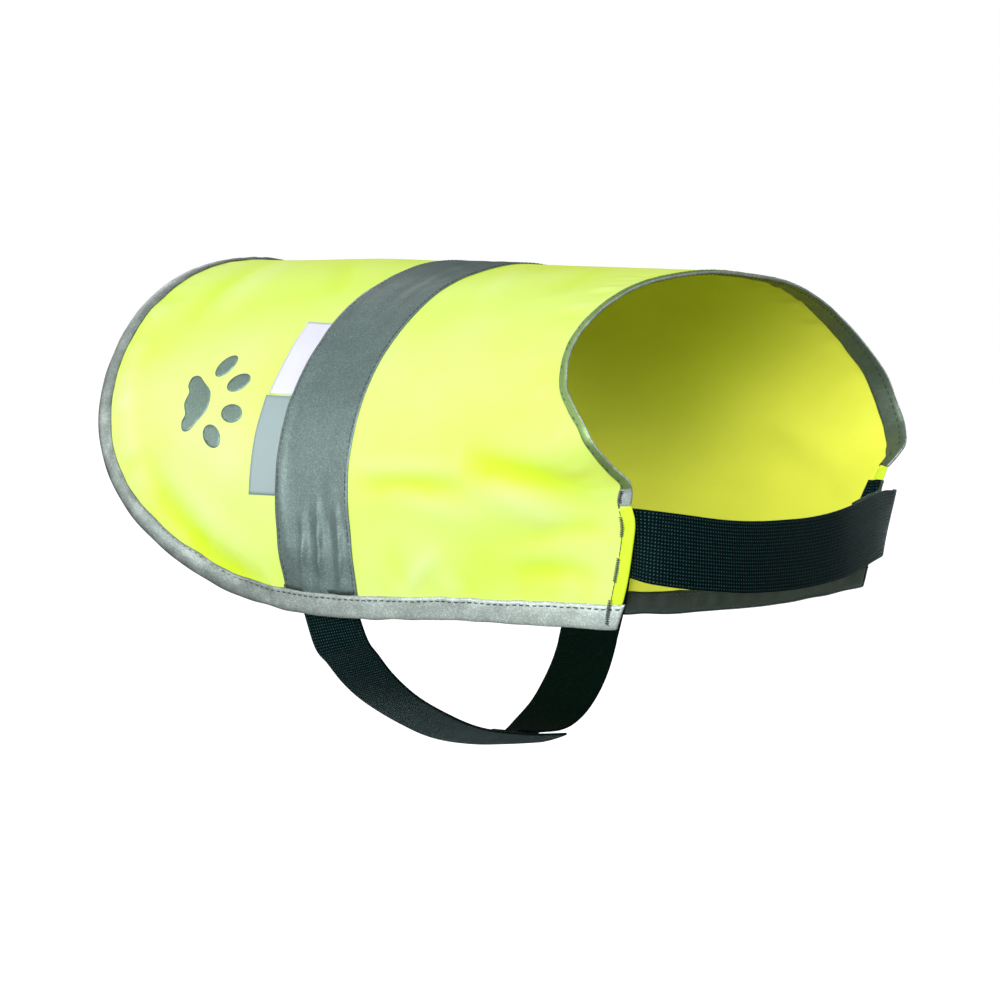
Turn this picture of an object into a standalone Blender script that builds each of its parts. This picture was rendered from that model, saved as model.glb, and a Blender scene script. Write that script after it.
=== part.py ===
"""Dog safety vest: a back panel worn as an open half tube, with its bindings, girth band and straps.

+X runs to the head, +Y to the dog's left, +Z up, in metres.
The origin is on the inner face of the panel, on the dorsal line, under the middle of the girth band.
All tables are in millimetres. Girth is measured down each side from the dorsal line, as a share of the
way to the hem; right is negative Y.
"""

import math

import bmesh
import bpy
import numpy as np
from mathutils import Vector
from mathutils.geometry import delaunay_2d_cdt

MM = 0.001

# Cloth and trims.
CLOTH = 1.2
BINDING_WALL = 0.8
BINDING_WIDTH = 13.0
BAND_WALL = 0.8
BAND_WIDTH = 52.0
BAND_LEAN = 12.0
STRAP_WIDTH = 37.0
STRAP_WALL = 1.4
HOOK_WALL = 1.0
LABEL_WALL = 0.4
SEAM_GAP = 0.35
LAP_STEP = 3.2
STRAP_TUCK_GAP = 1.6

# Mesh spacing along edges and over the panel.
EDGE_STEP = 12.0
NECK_STEP = 8.0
FIELD_STEP = 17.0

# Worn sections of the panel, rear to neck: the arch over the back is a half ellipse down to the widest
# height, fuller at the shoulders than 2.0 makes it, and each side then runs through the waist to its hem.
SECTION_COLUMNS = ("x", "crown", "fullness", "wide", "wide_z", "waist", "waist_z", "hem", "hem_right_z",
                   "hem_left_z")
SECTIONS = (
    (-170.0, 3.0, 2.0, 140.0, -114.5, 138.0, -146.5, 124.0, -186.5, -202.5),
    (-80.0, 2.5, 2.0, 143.0, -117.5, 140.0, -148.5, 126.0, -188.5, -207.5),
    (0.0, 0.0, 2.0, 146.0, -118.5, 142.0, -148.5, 129.0, -189.5, -207.5),
    (100.0, -3.0, 2.1, 154.0, -103.5, 143.0, -146.5, 126.0, -186.5, -197.5),
    (190.0, -8.0, 2.4, 160.0, -84.5, 136.0, -118.5, 121.0, -186.5, -178.5),
)

# Outline of the panel from the rear middle to the hem, and round the neck: girth share and x.
REAR_EDGE = ((0.0, -183.0), (0.25, -184.0), (0.45, -181.0), (0.60, -175.0), (0.72, -165.0),
             (0.80, -151.0), (0.87, -130.0), (0.93, -106.0), (0.97, -83.0), (0.992, -54.0), (1.0, -20.0))
HEM_X = (10.0, 55.0, 100.0, 140.0)
FRONT_HEM_X = 174.5
NECK_RIGHT = ((0.775, 187.0), (0.74, 182.5), (0.68, 177.5), (0.62, 169.0), (0.56, 162.0), (0.48, 157.0),
              (0.38, 156.5), (0.20, 158.0))
NECK_LEFT = ((0.20, 158.0), (0.38, 158.0), (0.48, 161.5), (0.56, 168.0), (0.64, 174.5), (0.71, 183.0),
             (0.745, 182.0), (0.77, 178.0))
NECK_MIDDLE_X = 158.5
FRONT_RIGHT = ((0.82, 189.5), (0.86, 187.5), (0.91, 183.5), (0.96, 178.0))
FRONT_LEFT = ((0.82, 177.0), (0.88, 177.0), (0.94, 176.5))

# Straps, by the middle of the webbing: x, y, z and the rise of its front edge in degrees.
CHEST_START_Z = -143.0
CHEST_RIGHT = ((200.0, -121.0, -145.0), (211.5, -100.0, -148.5), (219.0, -72.0, -151.5),
               (222.0, -42.0, -152.5), (221.5, -10.0, -152.5), (218.5, 22.0, -151.0),
               (212.5, 52.0, -148.5), (204.5, 82.0, -146.0), (196.5, 106.0, -145.0),
               (189.5, 123.0, -145.5), (183.5, 134.0, -146.0), (178.0, 141.5, -146.5))
CHEST_LEFT_START_Z = -141.0
CHEST_LAP = (6, 9)
BELLY_X = -12.0
BELLY_RIGHT = ((-10.5, -122.0, -201.5, 4.0), (-9.0, -115.5, -210.5, 5.0), (-7.5, -104.0, -223.5, 7.0),
               (-6.0, -86.0, -238.5, 9.0), (-4.5, -63.0, -251.5, 10.0), (-3.5, -38.0, -261.0, 11.0),
               (-3.0, -12.0, -268.0, 11.0), (-3.0, 12.0, -273.0, 11.0), (-3.0, 34.0, -276.0, 10.0),
               (-3.0, 50.0, -277.0, 9.0), (-3.0, 64.0, -277.0, 8.0))
BELLY_LEFT = ((-10.0, 122.0, -217.5, 4.0), (-9.0, 117.0, -228.0, 4.0), (-7.0, 109.5, -240.5, 5.0),
              (-5.0, 98.0, -252.0, 6.0), (-3.0, 81.0, -261.5, 8.0), (-3.0, 59.0, -267.5, 10.0),
              (-3.0, 33.0, -269.8, 11.0), (-3.0, 9.0, -268.8, 11.0))

# Labels on the right side, tucked under the rear edge of the band: girth share and width.
LABELS = (("label_white", 0.393, 0.568, 17.0), ("label_grey", 0.571, 0.765, 18.5))

COLOURS = {
    "back_panel": ("vest cloth", (0.72, 0.95, 0.08, 1.0), 0.6),
    "girth_band": ("reflective tape", (0.20, 0.24, 0.23, 1.0), 0.4),
    "hem_binding": ("reflective binding", (0.18, 0.21, 0.20, 1.0), 0.4),
    "neck_binding": ("neck binding", (0.18, 0.21, 0.20, 1.0), 0.4),
    "chest_strap_right": ("chest webbing", (0.006, 0.012, 0.013, 1.0), 0.8),
    "chest_strap_left": ("short chest webbing", (0.006, 0.012, 0.013, 1.0), 0.8),
    "belly_strap_right": ("belly webbing", (0.006, 0.012, 0.013, 1.0), 0.8),
    "belly_strap_left": ("loop webbing", (0.008, 0.020, 0.018, 1.0), 0.9),
    "chest_hook": ("chest hook tape", (0.005, 0.007, 0.008, 1.0), 0.8),
    "belly_hook": ("belly hook tape", (0.005, 0.007, 0.008, 1.0), 0.8),
    "label_white": ("white label", (0.85, 0.85, 0.90, 1.0), 0.5),
    "label_grey": ("grey label", (0.50, 0.64, 0.64, 1.0), 0.5),
}


def smooth(knots, values, at, first_slope=None):
    """Value of a smooth curve that passes the knots without overshoot."""
    step = np.diff(knots)
    rise = np.diff(values) / step
    slope = np.zeros(len(knots))
    slope[0] = rise[0] if first_slope is None else first_slope
    slope[-1] = rise[-1]
    for i in range(1, len(knots) - 1):
        if rise[i - 1] * rise[i] > 0:
            slope[i] = 2.0 * rise[i - 1] * rise[i] / (rise[i - 1] + rise[i])
    i = np.clip(np.searchsorted(knots, at) - 1, 0, len(knots) - 2)
    t = (at - knots[i]) / step[i]
    inside = np.clip(t, 0.0, 1.0)
    curve = ((1.0 + 2.0 * inside) * (1.0 - inside) ** 2 * values[i]
             + inside * (1.0 - inside) ** 2 * step[i] * slope[i]
             + inside ** 2 * (3.0 - 2.0 * inside) * values[i + 1]
             + inside ** 2 * (inside - 1.0) * step[i] * slope[i + 1])
    return curve + (t - inside) * step[i] * np.where(t < 0.0, slope[0], slope[-1])


def station(x):
    """The section sizes at one x, by column name."""
    table = np.array(SECTIONS)
    return {name: float(smooth(table[:, 0], table[:, i], x))
            for i, name in enumerate(SECTION_COLUMNS) if i}


def half_section(x, side):
    """One side of the section at x: length from the dorsal line, y, z and the length to the hem."""
    s = station(x)
    hem_z = s["hem_right_z"] if side < 0 else s["hem_left_z"]
    angle = np.linspace(0.0, math.pi / 2, 50)
    y = s["wide"] * np.sin(angle) ** (2.0 / s["fullness"])
    z = s["crown"] - (s["crown"] - s["wide_z"]) * (1.0 - np.cos(angle) ** (2.0 / s["fullness"]))
    depth = np.linspace(-s["wide_z"], -hem_z + 12.0, 36)[1:]
    heights = np.array((-s["wide_z"], -s["waist_z"], -hem_z))
    halves = np.array((s["wide"], s["waist"], s["hem"]))
    y = np.concatenate((y, smooth(heights, halves, depth, first_slope=0.0)))
    z = np.concatenate((z, -depth))
    length = np.concatenate(((0.0,), np.cumsum(np.hypot(np.diff(y), np.diff(z)))))
    return length, side * y, z, float(np.interp(-hem_z, -z, length))


def girth(x, side):
    """Length of cloth from the dorsal line to the hem at x."""
    return half_section(x, side)[3]


def girth_at_height(x, side, height):
    """Length of cloth from the dorsal line to a height on the side."""
    length, _, z, _ = half_section(x, side)
    return float(np.interp(-height, -z, length))


def skin(x, v):
    """Point on the panel's inner face, v along the cloth from the dorsal line, right side negative."""
    length, y, z, _ = half_section(x, -1 if v < 0 else 1)
    return np.array((x, np.interp(abs(v), length, y), np.interp(abs(v), length, z)))


def worn(x, v, lift=0.0):
    """Point lifted off the panel's inner face along the outward normal."""
    point = skin(x, v)
    if not lift:
        return point
    along = skin(x + 2.0, v) - skin(x - 2.0, v)
    down = skin(x, v + 2.0) - skin(x, v - 2.0)
    normal = np.cross(along, down)
    return point + lift * normal / np.linalg.norm(normal)


def flat_points(rows, side):
    """Rows of girth share and x as points of the flat panel."""
    return [(x, side * share * girth(x, side)) for share, x in rows]


def rounded_path(points, step):
    """Points at an even step along a smooth curve through the given ones."""
    p = np.array(points, dtype=float)
    ends = np.vstack((2 * p[0] - p[1], p, 2 * p[-1] - p[-2]))
    fine = []
    for a, b, c, d in zip(ends, ends[1:], ends[2:], ends[3:]):
        for t in np.linspace(0.0, 1.0, 24, endpoint=False):
            fine.append(0.5 * (2 * b + (c - a) * t + (2 * a - 5 * b + 4 * c - d) * t * t
                               + (3 * b - a - 3 * c + d) * t ** 3))
    fine.append(p[-1])
    fine = np.array(fine)
    length = np.concatenate(((0.0,), np.cumsum(np.linalg.norm(np.diff(fine, axis=0), axis=1))))
    count = max(2, round(length[-1] / step))
    at = np.linspace(0.0, length[-1], count + 1)
    return np.stack([np.interp(at, length, fine[:, i]) for i in range(p.shape[1])], axis=1)


def hem_path():
    """Bound edge: right hem from the front, round the rear, left hem to the front."""
    right_rows = [(1.0, x) for x in (FRONT_HEM_X,) + HEM_X[::-1]] + list(REAR_EDGE[::-1])
    left_rows = list(REAR_EDGE[1:]) + [(1.0, x) for x in HEM_X + (FRONT_HEM_X,)]
    return rounded_path(flat_points(right_rows, -1) + flat_points(left_rows, 1), EDGE_STEP)


def neck_path():
    """Bound edge: round the neck from the right corner to the left one."""
    points = flat_points(NECK_RIGHT, -1) + [(NECK_MIDDLE_X, 0.0)] + flat_points(NECK_LEFT, 1)
    return rounded_path(points, NECK_STEP)


def front_path(rows, side, corner):
    """Plain front edge from the hem up to the neck corner."""
    low = [(FRONT_HEM_X, side * girth(FRONT_HEM_X, side))]
    return rounded_path(low + flat_points(rows[::-1], side) + [tuple(corner)], EDGE_STEP)


def inset(path, distance, inward_side):
    """The path moved sideways over the flat panel."""
    tangent = np.gradient(path, axis=0)
    tangent /= np.linalg.norm(tangent, axis=1)[:, None]
    normal = np.stack((-tangent[:, 1], tangent[:, 0]), axis=1) * inward_side
    return path + distance * normal


def hem_inset(distance):
    return inset(hem_path(), distance, -1.0)


def neck_inset(distance):
    return inset(neck_path(), distance, 1.0)


def panel_outline():
    """Closed edge of the flat panel."""
    hem, neck = hem_path(), neck_path()
    right = front_path(FRONT_RIGHT, -1, neck[0])
    left = front_path(FRONT_LEFT, 1, neck[-1])
    return np.vstack((hem[:-1], left[:-1], neck[::-1][:-1], right[::-1][:-1]))


def within(outline, point):
    """Whether a flat point is inside a closed outline."""
    x, v = point
    a, b = outline, np.roll(outline, -1, axis=0)
    crosses = (a[:, 1] > v) != (b[:, 1] > v)
    rise = np.where(crosses, b[:, 1] - a[:, 1], 1.0)
    cut = a[:, 0] + (v - a[:, 1]) / rise * (b[:, 0] - a[:, 0])
    return bool(np.count_nonzero(crosses & (x < cut)) % 2)


def field_points(outline, guides):
    """Staggered points inside the outline, clear of the edges and guide lines."""
    near = np.vstack([outline] + guides)
    points = []
    for row, v in enumerate(np.arange(outline[:, 1].min(), outline[:, 1].max(), FIELD_STEP * 0.87)):
        for x in np.arange(outline[:, 0].min() + (row % 2) * FIELD_STEP / 2, outline[:, 0].max(), FIELD_STEP):
            gap = np.min(np.hypot(near[:, 0] - x, near[:, 1] - v))
            if gap > 0.62 * FIELD_STEP and within(outline, (x, v)):
                points.append((x, v))
    return points


def remove_old_objects():
    for item in list(bpy.data.objects):
        bpy.data.objects.remove(item, do_unlink=True)


def vest_collection():
    group = bpy.data.collections.new("dog_safety_vest")
    bpy.context.scene.collection.children.link(group)
    return group


def colour(name):
    label, tint, roughness = COLOURS[name]
    material = bpy.data.materials.new(label)
    material.use_nodes = True
    shader = material.node_tree.nodes["Principled BSDF"]
    shader.inputs["Base Color"].default_value = tint
    shader.inputs["Roughness"].default_value = roughness
    return material


def sheet(group, name, points, faces, wall, offset):
    """A cloth piece: an open surface in mm, given its wall by Solidify."""
    mesh = bpy.data.meshes.new(name)
    mesh.from_pydata([tuple(float(c) * MM for c in p) for p in points], [], faces)
    mesh.validate()
    bm = bmesh.new()
    bm.from_mesh(mesh)
    bmesh.ops.recalc_face_normals(bm, faces=bm.faces)
    bm.to_mesh(mesh)
    bm.free()
    piece = bpy.data.objects.new(name, mesh)
    group.objects.link(piece)
    piece.data.materials.append(colour(name))
    shell = piece.modifiers.new("wall", "SOLIDIFY")
    shell.thickness = wall * MM
    shell.offset = offset
    shell.use_even_offset = True
    return piece


def faces_of_grid(rows, columns):
    return [(r * columns + c, (r + 1) * columns + c, (r + 1) * columns + c + 1, r * columns + c + 1)
            for r in range(rows - 1) for c in range(columns - 1)]


def back_panel(group):
    """The one-piece back panel, meshed flat inside its outline and laid on the worn form."""
    outline = panel_outline()
    guides = [offset(distance) for offset in (hem_inset, neck_inset)
              for distance in (BINDING_WIDTH / 2, BINDING_WIDTH)]
    points = [Vector(p) for p in outline]
    edges = [(i, (i + 1) % len(outline)) for i in range(len(outline))]
    for guide in guides:
        start = len(points)
        points += [Vector(p) for p in guide]
        edges += [(start + i, start + i + 1) for i in range(len(guide) - 1)]
    points += [Vector(p) for p in field_points(outline, guides)]
    flat, _, faces, _, _, _ = delaunay_2d_cdt(points, edges, [list(range(len(outline)))], 1, 1e-4)
    middle = [worn(p[0], p[1], CLOTH / 2) for p in flat]
    return sheet(group, "back_panel", middle, [tuple(f) for f in faces], CLOTH, 0.0)


def binding(group, name, offset_path):
    """A folded binding: a channel over the edge, its legs lying on both faces of the panel."""
    outer = CLOTH + SEAM_GAP + BINDING_WALL / 2
    inner = -SEAM_GAP - BINDING_WALL / 2
    fold = -SEAM_GAP - BINDING_WALL / 2 - 0.1
    half = BINDING_WIDTH / 2
    profile = ((BINDING_WIDTH, outer), (half, outer), (0.0, outer), (fold, outer - 0.5),
               (fold, inner + 0.5), (0.0, inner), (half, inner), (BINDING_WIDTH, inner))
    rails = [offset_path(distance) for distance, _ in profile]
    points = [worn(rail[i][0], rail[i][1], lift)
              for i in range(len(rails[0])) for rail, (_, lift) in zip(rails, profile)]
    return sheet(group, name, points, faces_of_grid(len(rails[0]), len(profile)), BINDING_WALL, 0.0)


def band_middle_x(way):
    """The band leans back down the sides, by the way from the dorsal line to its end."""
    return -BAND_LEAN * way * way


def laid_strip(group, name, flat_rows, wall):
    """A strip lying on the panel, from rows of flat points."""
    lift = CLOTH + SEAM_GAP + wall / 2
    points = [worn(x, v, lift) for row in flat_rows for x, v in row]
    return sheet(group, name, points, faces_of_grid(len(flat_rows), len(flat_rows[0])), wall, 0.0)


def binding_top(x, side):
    """Girth at which a strip on the panel meets the hem binding."""
    rail = hem_inset(BINDING_WIDTH + SEAM_GAP + 0.4)
    rail = rail[rail[:, 1] * side > 0]
    rail = rail[np.argsort(rail[:, 0])]
    return side * float(np.interp(x, rail[:, 0], np.abs(rail[:, 1])))


def girth_band(group):
    """The reflective band round the panel, ending at the hem bindings."""
    rows = []
    for t in np.linspace(-1.0, 1.0, 41):
        row = []
        for x in band_middle_x(t) + np.linspace(-0.5, 0.5, 4) * BAND_WIDTH:
            right, left = binding_top(x, -1), binding_top(x, 1)
            row.append((x, right + (left - right) * (t + 1.0) / 2.0))
        rows.append(row)
    return laid_strip(group, "girth_band", rows, BAND_WALL)


def labels(group):
    """Two side labels that reach the rear edge of the band."""
    for name, top, bottom, width in LABELS:
        rows = []
        for share in np.linspace(top, bottom, 6):
            way = share * girth(-BAND_WIDTH / 2, -1) / -binding_top(-BAND_WIDTH / 2, -1)
            front = band_middle_x(way) - BAND_WIDTH / 2 - SEAM_GAP - 0.2
            rows.append([(x, -share * girth(x, -1)) for x in np.linspace(front - width, front, 3)])
        laid_strip(group, name, rows, LABEL_WALL)


def ribbon(group, name, rows, width, wall, side=0.0):
    """Webbing along rows of middle point and across direction, moved off that line by side."""
    middle = np.array([row[0] for row in rows])
    across = np.array([row[1] for row in rows])
    tangent = np.gradient(middle, axis=0)
    tangent /= np.linalg.norm(tangent, axis=1)[:, None]
    across = across - tangent * np.sum(across * tangent, axis=1)[:, None]
    across /= np.linalg.norm(across, axis=1)[:, None]
    middle = middle + side * np.cross(tangent, across)
    points = [m + w * width * a for m, a in zip(middle, across) for w in (-0.5, 0.5)]
    return sheet(group, name, points, faces_of_grid(len(rows), 2), wall, 0.0)


def smooth_rows(rows, step):
    """Rows of point and across direction at an even step."""
    joined = [np.concatenate((point, 10.0 * np.array(across))) for point, across in rows]
    path = rounded_path(joined, step)
    return [(p[:3], p[3:]) for p in path]


def tucked_rows(xs, side, height):
    """Rows of a chest strap sewn flat inside a front edge."""
    rows = []
    for x in xs:
        v = side * girth_at_height(x, side, height)
        up = skin(x, v - side * STRAP_WIDTH / 2) - skin(x, v + side * STRAP_WIDTH / 2)
        rows.append((worn(x, v, -STRAP_TUCK_GAP - STRAP_WALL / 2), up / np.linalg.norm(up)))
    return rows


def chest_rows():
    """The long chest strap from inside the right front edge to its free tip past the left one."""
    rows = tucked_rows((170.0, 179.0, 187.0), -1, CHEST_START_Z)
    for x, y, z in CHEST_RIGHT:
        rows.append((np.array((x, y, z)), np.array((0.0, 0.0, 1.0))))
    return rows


def shifted(rows, distance):
    """Rows moved off the webbing along its outward normal."""
    middle = np.array([row[0] for row in rows])
    across = np.array([row[1] for row in rows])
    tangent = np.gradient(middle, axis=0)
    normal = np.cross(tangent, across)
    normal /= np.linalg.norm(normal, axis=1)[:, None]
    return [(m + distance * n, a) for m, n, a in zip(middle, normal, across)]


def chest_straps(group):
    """Long right strap over a short left one, with a hook patch in the lap."""
    long_rows = chest_rows()
    ribbon(group, "chest_strap_right", smooth_rows(long_rows, 11.0), STRAP_WIDTH, STRAP_WALL)
    short_rows = tucked_rows((162.0, 170.0, 178.0), 1, CHEST_LEFT_START_Z)
    lap = shifted(long_rows, -LAP_STEP)[3 + CHEST_LAP[0]:3 + CHEST_LAP[1]]
    short_rows += lap[::-1]
    ribbon(group, "chest_strap_left", smooth_rows(short_rows, 11.0), STRAP_WIDTH, STRAP_WALL)
    hook_lap = shifted(long_rows, -LAP_STEP / 2)[3 + CHEST_LAP[0]:3 + CHEST_LAP[1]]
    ribbon(group, "chest_hook", smooth_rows(hook_lap, 10.0)[:5], STRAP_WIDTH - 4.0, HOOK_WALL)


def belly_rows(table, side):
    """A belly strap from inside the hem, past its binding, and along its table."""
    rows = []
    lift = -2 * SEAM_GAP - BINDING_WALL - STRAP_WALL / 2 - 0.2
    for below_hem in (-27.0, -13.0, 3.0):
        v = side * (girth(BELLY_X, side) + below_hem)
        along = skin(BELLY_X + STRAP_WIDTH / 2, v) - skin(BELLY_X - STRAP_WIDTH / 2, v)
        rows.append((worn(BELLY_X, v, lift), along / np.linalg.norm(along)))
    for x, y, z, rise in table:
        rows.append((np.array((x, y, z)), np.array((1.0, 0.0, math.tan(math.radians(rise))))))
    return rows


def belly_straps(group):
    """Right strap outside, left strap inside, lapping under the belly."""
    right = belly_rows(BELLY_RIGHT, -1)
    ribbon(group, "belly_strap_right", smooth_rows(right, 11.0), STRAP_WIDTH, STRAP_WALL)
    ribbon(group, "belly_strap_left", smooth_rows(belly_rows(BELLY_LEFT, 1), 11.0), STRAP_WIDTH, STRAP_WALL)
    lap = shifted(right, LAP_STEP / 2)[10:13]
    ribbon(group, "belly_hook", smooth_rows(lap, 10.0), STRAP_WIDTH - 4.0, HOOK_WALL)


def main():
    remove_old_objects()
    group = vest_collection()
    back_panel(group)
    girth_band(group)
    binding(group, "hem_binding", hem_inset)
    binding(group, "neck_binding", neck_inset)
    labels(group)
    chest_straps(group)
    belly_straps(group)


main()
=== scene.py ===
"""Dog safety vest: cloth, reflective trims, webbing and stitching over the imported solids, and the stage.

+X runs to the head, +Y to the dog's left, +Z up. Tables are in millimetres, and meshes in metres.
Girth is measured down each side from the dorsal line, right side negative, and a share of girth is a share of
the way to the hem. The file is laid out as an add-on and is run as a script.
"""

import math

import bpy
import numpy as np
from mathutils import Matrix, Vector
from mathutils.geometry import delaunay_2d_cdt


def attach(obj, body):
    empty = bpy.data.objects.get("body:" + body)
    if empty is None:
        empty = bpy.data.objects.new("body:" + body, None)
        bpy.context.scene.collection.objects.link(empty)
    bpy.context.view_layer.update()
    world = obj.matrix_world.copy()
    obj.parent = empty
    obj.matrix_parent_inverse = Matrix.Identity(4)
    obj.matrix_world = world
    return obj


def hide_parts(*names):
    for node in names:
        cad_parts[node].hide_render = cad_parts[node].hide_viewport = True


bl_info = {
    "name": "Dog safety vest",
    "version": (1, 0, 0),
    "blender": (4, 5, 0),
    "location": "View3D > Sidebar > Dog vest",
    "description": "Builds the cloth, trims, webbing and stitching of a dog safety vest over its solids",
    "category": "Object",
}

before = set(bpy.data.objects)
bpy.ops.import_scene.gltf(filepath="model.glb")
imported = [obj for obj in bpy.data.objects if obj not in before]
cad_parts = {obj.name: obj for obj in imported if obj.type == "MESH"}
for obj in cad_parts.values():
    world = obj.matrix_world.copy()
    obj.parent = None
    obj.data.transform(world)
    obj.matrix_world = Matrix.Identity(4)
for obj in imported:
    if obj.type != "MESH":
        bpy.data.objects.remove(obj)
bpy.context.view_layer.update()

MM = 0.001
STRAP_WIDTH = 37.0
LAP_STEP = 3.2
PATH_STEP = 3.0

# Filling of a flat outline, as shares of its step: between rows, and clear of the outline.
ROW_SHARE = 0.87
EDGE_SHARE = 0.6

# Worn sections of the panel, rear to neck, as in the solids.
SECTION_COLUMNS = ("x", "crown", "fullness", "wide", "wide_z", "waist", "waist_z", "hem", "hem_right_z",
                   "hem_left_z")
SECTIONS = (
    (-170.0, 3.0, 2.0, 140.0, -114.5, 138.0, -146.5, 124.0, -186.5, -202.5),
    (-80.0, 2.5, 2.0, 143.0, -117.5, 140.0, -148.5, 126.0, -188.5, -207.5),
    (0.0, 0.0, 2.0, 146.0, -118.5, 142.0, -148.5, 129.0, -189.5, -207.5),
    (100.0, -3.0, 2.1, 154.0, -103.5, 143.0, -146.5, 126.0, -186.5, -197.5),
    (190.0, -8.0, 2.4, 160.0, -84.5, 136.0, -118.5, 121.0, -186.5, -178.5),
)

# Outline of the panel: girth share and x.
REAR_EDGE = ((0.0, -183.0), (0.25, -184.0), (0.45, -181.0), (0.60, -175.0), (0.72, -165.0),
             (0.80, -151.0), (0.87, -130.0), (0.93, -106.0), (0.97, -83.0), (0.992, -54.0), (1.0, -20.0))
HEM_X = (10.0, 55.0, 100.0, 140.0)
FRONT_HEM_X = 175.0
NECK_RIGHT = ((0.79, 190.8), (0.765, 192.6), (0.744, 193.0), (0.716, 190.0), (0.673, 186.5), (0.634, 181.0),
              (0.60, 172.0), (0.56, 163.5), (0.48, 157.0), (0.38, 156.5), (0.20, 158.0))
NECK_LEFT = ((0.20, 158.0), (0.38, 158.0), (0.48, 161.5), (0.56, 168.0), (0.64, 174.5), (0.71, 183.0),
             (0.745, 182.0), (0.77, 178.0))
NECK_MIDDLE_X = 158.5
FRONT_RIGHT = ((0.82, 191.4), (0.86, 188.6), (0.905, 184.6), (0.96, 178.6))
FRONT_LEFT = ((0.82, 177.0), (0.88, 177.0), (0.94, 176.5))

# Straps by the middle of the webbing, close to the solids: x, y and z. The belly straps also have the rise of
# the front edge and its turn to the left, in degrees.
CHEST_START_Z = -143.0
CHEST_RIGHT = ((200.0, -121.0, -145.0), (211.5, -100.0, -148.5), (219.0, -72.0, -151.5),
               (222.0, -42.0, -152.5), (221.5, -10.0, -152.5), (218.5, 22.0, -151.0),
               (212.5, 52.0, -148.5), (204.5, 82.0, -146.0), (196.5, 106.0, -145.0),
               (189.5, 123.0, -145.5), (183.5, 134.0, -146.0), (178.0, 141.5, -146.5))
CHEST_LEFT_START_Z = -141.0
CHEST_LAP = (6, 9)
BELLY_X = -12.0
BELLY_RIGHT = ((-10.1, -120.5, -205.6, 9.3, 0.0), (-8.6, -112.0, -216.0, 9.4, 0.0),
               (-6.8, -101.0, -227.4, 9.0, 0.3), (-5.3, -86.0, -238.6, 8.9, 0.7),
               (-4.8, -68.0, -248.6, 9.1, 1.0), (-5.2, -48.0, -257.1, 10.2, 1.5),
               (-5.6, -28.0, -264.0, 11.7, 1.8), (-5.2, -8.0, -269.2, 13.2, 0.8),
               (-3.0, 12.0, -272.6, 13.8, -3.0), (2.6, 30.0, -274.2, 13.0, -10.0),
               (12.0, 47.0, -274.8, 12.7, -19.0))
BELLY_LEFT = ((-15.5, 121.5, -218.8, 2.0, 18.0), (-13.7, 115.0, -228.3, 0.0, 17.3),
              (-12.0, 106.0, -239.8, -4.5, 15.8), (-10.7, 95.0, -250.6, -6.5, 13.4),
              (-9.2, 81.0, -260.4, -6.5, 10.6), (-7.2, 64.0, -267.2, -2.0, 7.2),
              (-4.4, 47.0, -270.9, 5.0, 3.6), (-1.5, 30.0, -271.3, 11.0, -2.0),
              (-3.0, 12.0, -269.8, 13.0, -2.0))

# Sewn starts of the straps: how far inside the hem a belly strap's first rows are, the x of each chest
# strap's first rows, and how far each kind lies under the panel's inner face.
INSIDE_HEM = (27.0, 12.0)
TUCKED_RIGHT_X = (170.0, 179.0, 187.0)
TUCKED_LEFT_X = (164.0, 171.0, 178.0)
BELLY_UNDER = 2.4
CHEST_UNDER = 2.3

# The webbing's mesh, the run over which it comes free of the panel, and the depth of its cup.
STRAP_STEP = 2.5
STRAP_COLUMNS = 25
FREE_RUN = 60.0
STRAP_CUP = 0.5

# The girth band: how far it leans back at its ends, how far in from the hem it ends, where its thread lines
# are as shares of its width, and its tacks on the hem binding: way, then first and last share of the width.
BAND_LEAN = 12.0
BAND_REACH = 11.0
BAND_SEAMS = (-0.462, 0.462)
BAND_TACKS = ((-0.988, -0.50, -0.24), (-0.988, 0.12, 0.46), (0.988, -0.48, -0.20), (0.988, 0.16, 0.48))

# The side labels: solid, slot, finish, top and bottom share of girth, and width. Each starts under the band,
# and they share the band's lean at this reach in from the hem.
LABELS = (("label_white", "white_label", "White label", 0.393, 0.568, 17.0),
          ("label_grey", "grey_label", "Grey label", 0.571, 0.765, 18.5))
LABEL_UNDER_BAND = 3.0
LABEL_EXTRA = 3.5
LABEL_REACH = 13.75

# The folded bindings: points over each leg and round the fold, where a leg starts and where the fold lies as
# shares of its width, the rounding at the ends, the run of each end that keeps the hem's finish, the width
# that a finish spans, how far the legs stand off round the rear and by which x, and by which x and how much
# the hem binding is darkened with painted shade towards the rear.
LEG_POINTS = 8
FOLD_POINTS = 5
LEG_START = 0.10
FOLD_SHARE = -0.05
END_ROUNDING = 1.9
END_RUN = 8.5
FINISH_SPAN = 13.0
REAR_BULGE = 0.75
BULGE_X = (-110.0, -40.0)
REAR_SHADE_X = (-160.0, -60.0, 60.0)
REAR_SHADE = (1.0, 0.75, 0.0)

# Where the hem's seam changes from rear to front, with its distance in from the leg's edge and its height.
SEAM_X = (-120.0, -50.0)
SEAM_IN = (0.9, 2.4)
SEAM_SUNK = (-0.22, 0.12)

# Bartacks down a front edge: first and last run from the hem, and height.
EDGE_TACKS = ((1.5, 14.5, 2.1), (23.5, 36.0, 1.6), (47.5, 60.0, 1.6))

# The paw motif: its middle by x and share of girth, its turn in degrees, half of its pad's outline and the
# point at its back in pad widths, each toe's bearing and reach, and half of a toe's length and width.
MOTIF_X = -99.0
MOTIF_SHARE = 0.59
MOTIF_TURN = 6.0
PAD_HALF = ((0.26, 0.0), (0.22, 0.17), (0.06, 0.33), (-0.10, 0.47), (-0.25, 0.46), (-0.29, 0.31),
            (-0.235, 0.19))
PAD_BACK = (-0.29, 0.0)
TOES = ((-56.0, 0.74), (-19.0, 0.83), (19.0, 0.83), (56.0, 0.74))
TOE_HALVES = (0.235, 0.155)

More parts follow.
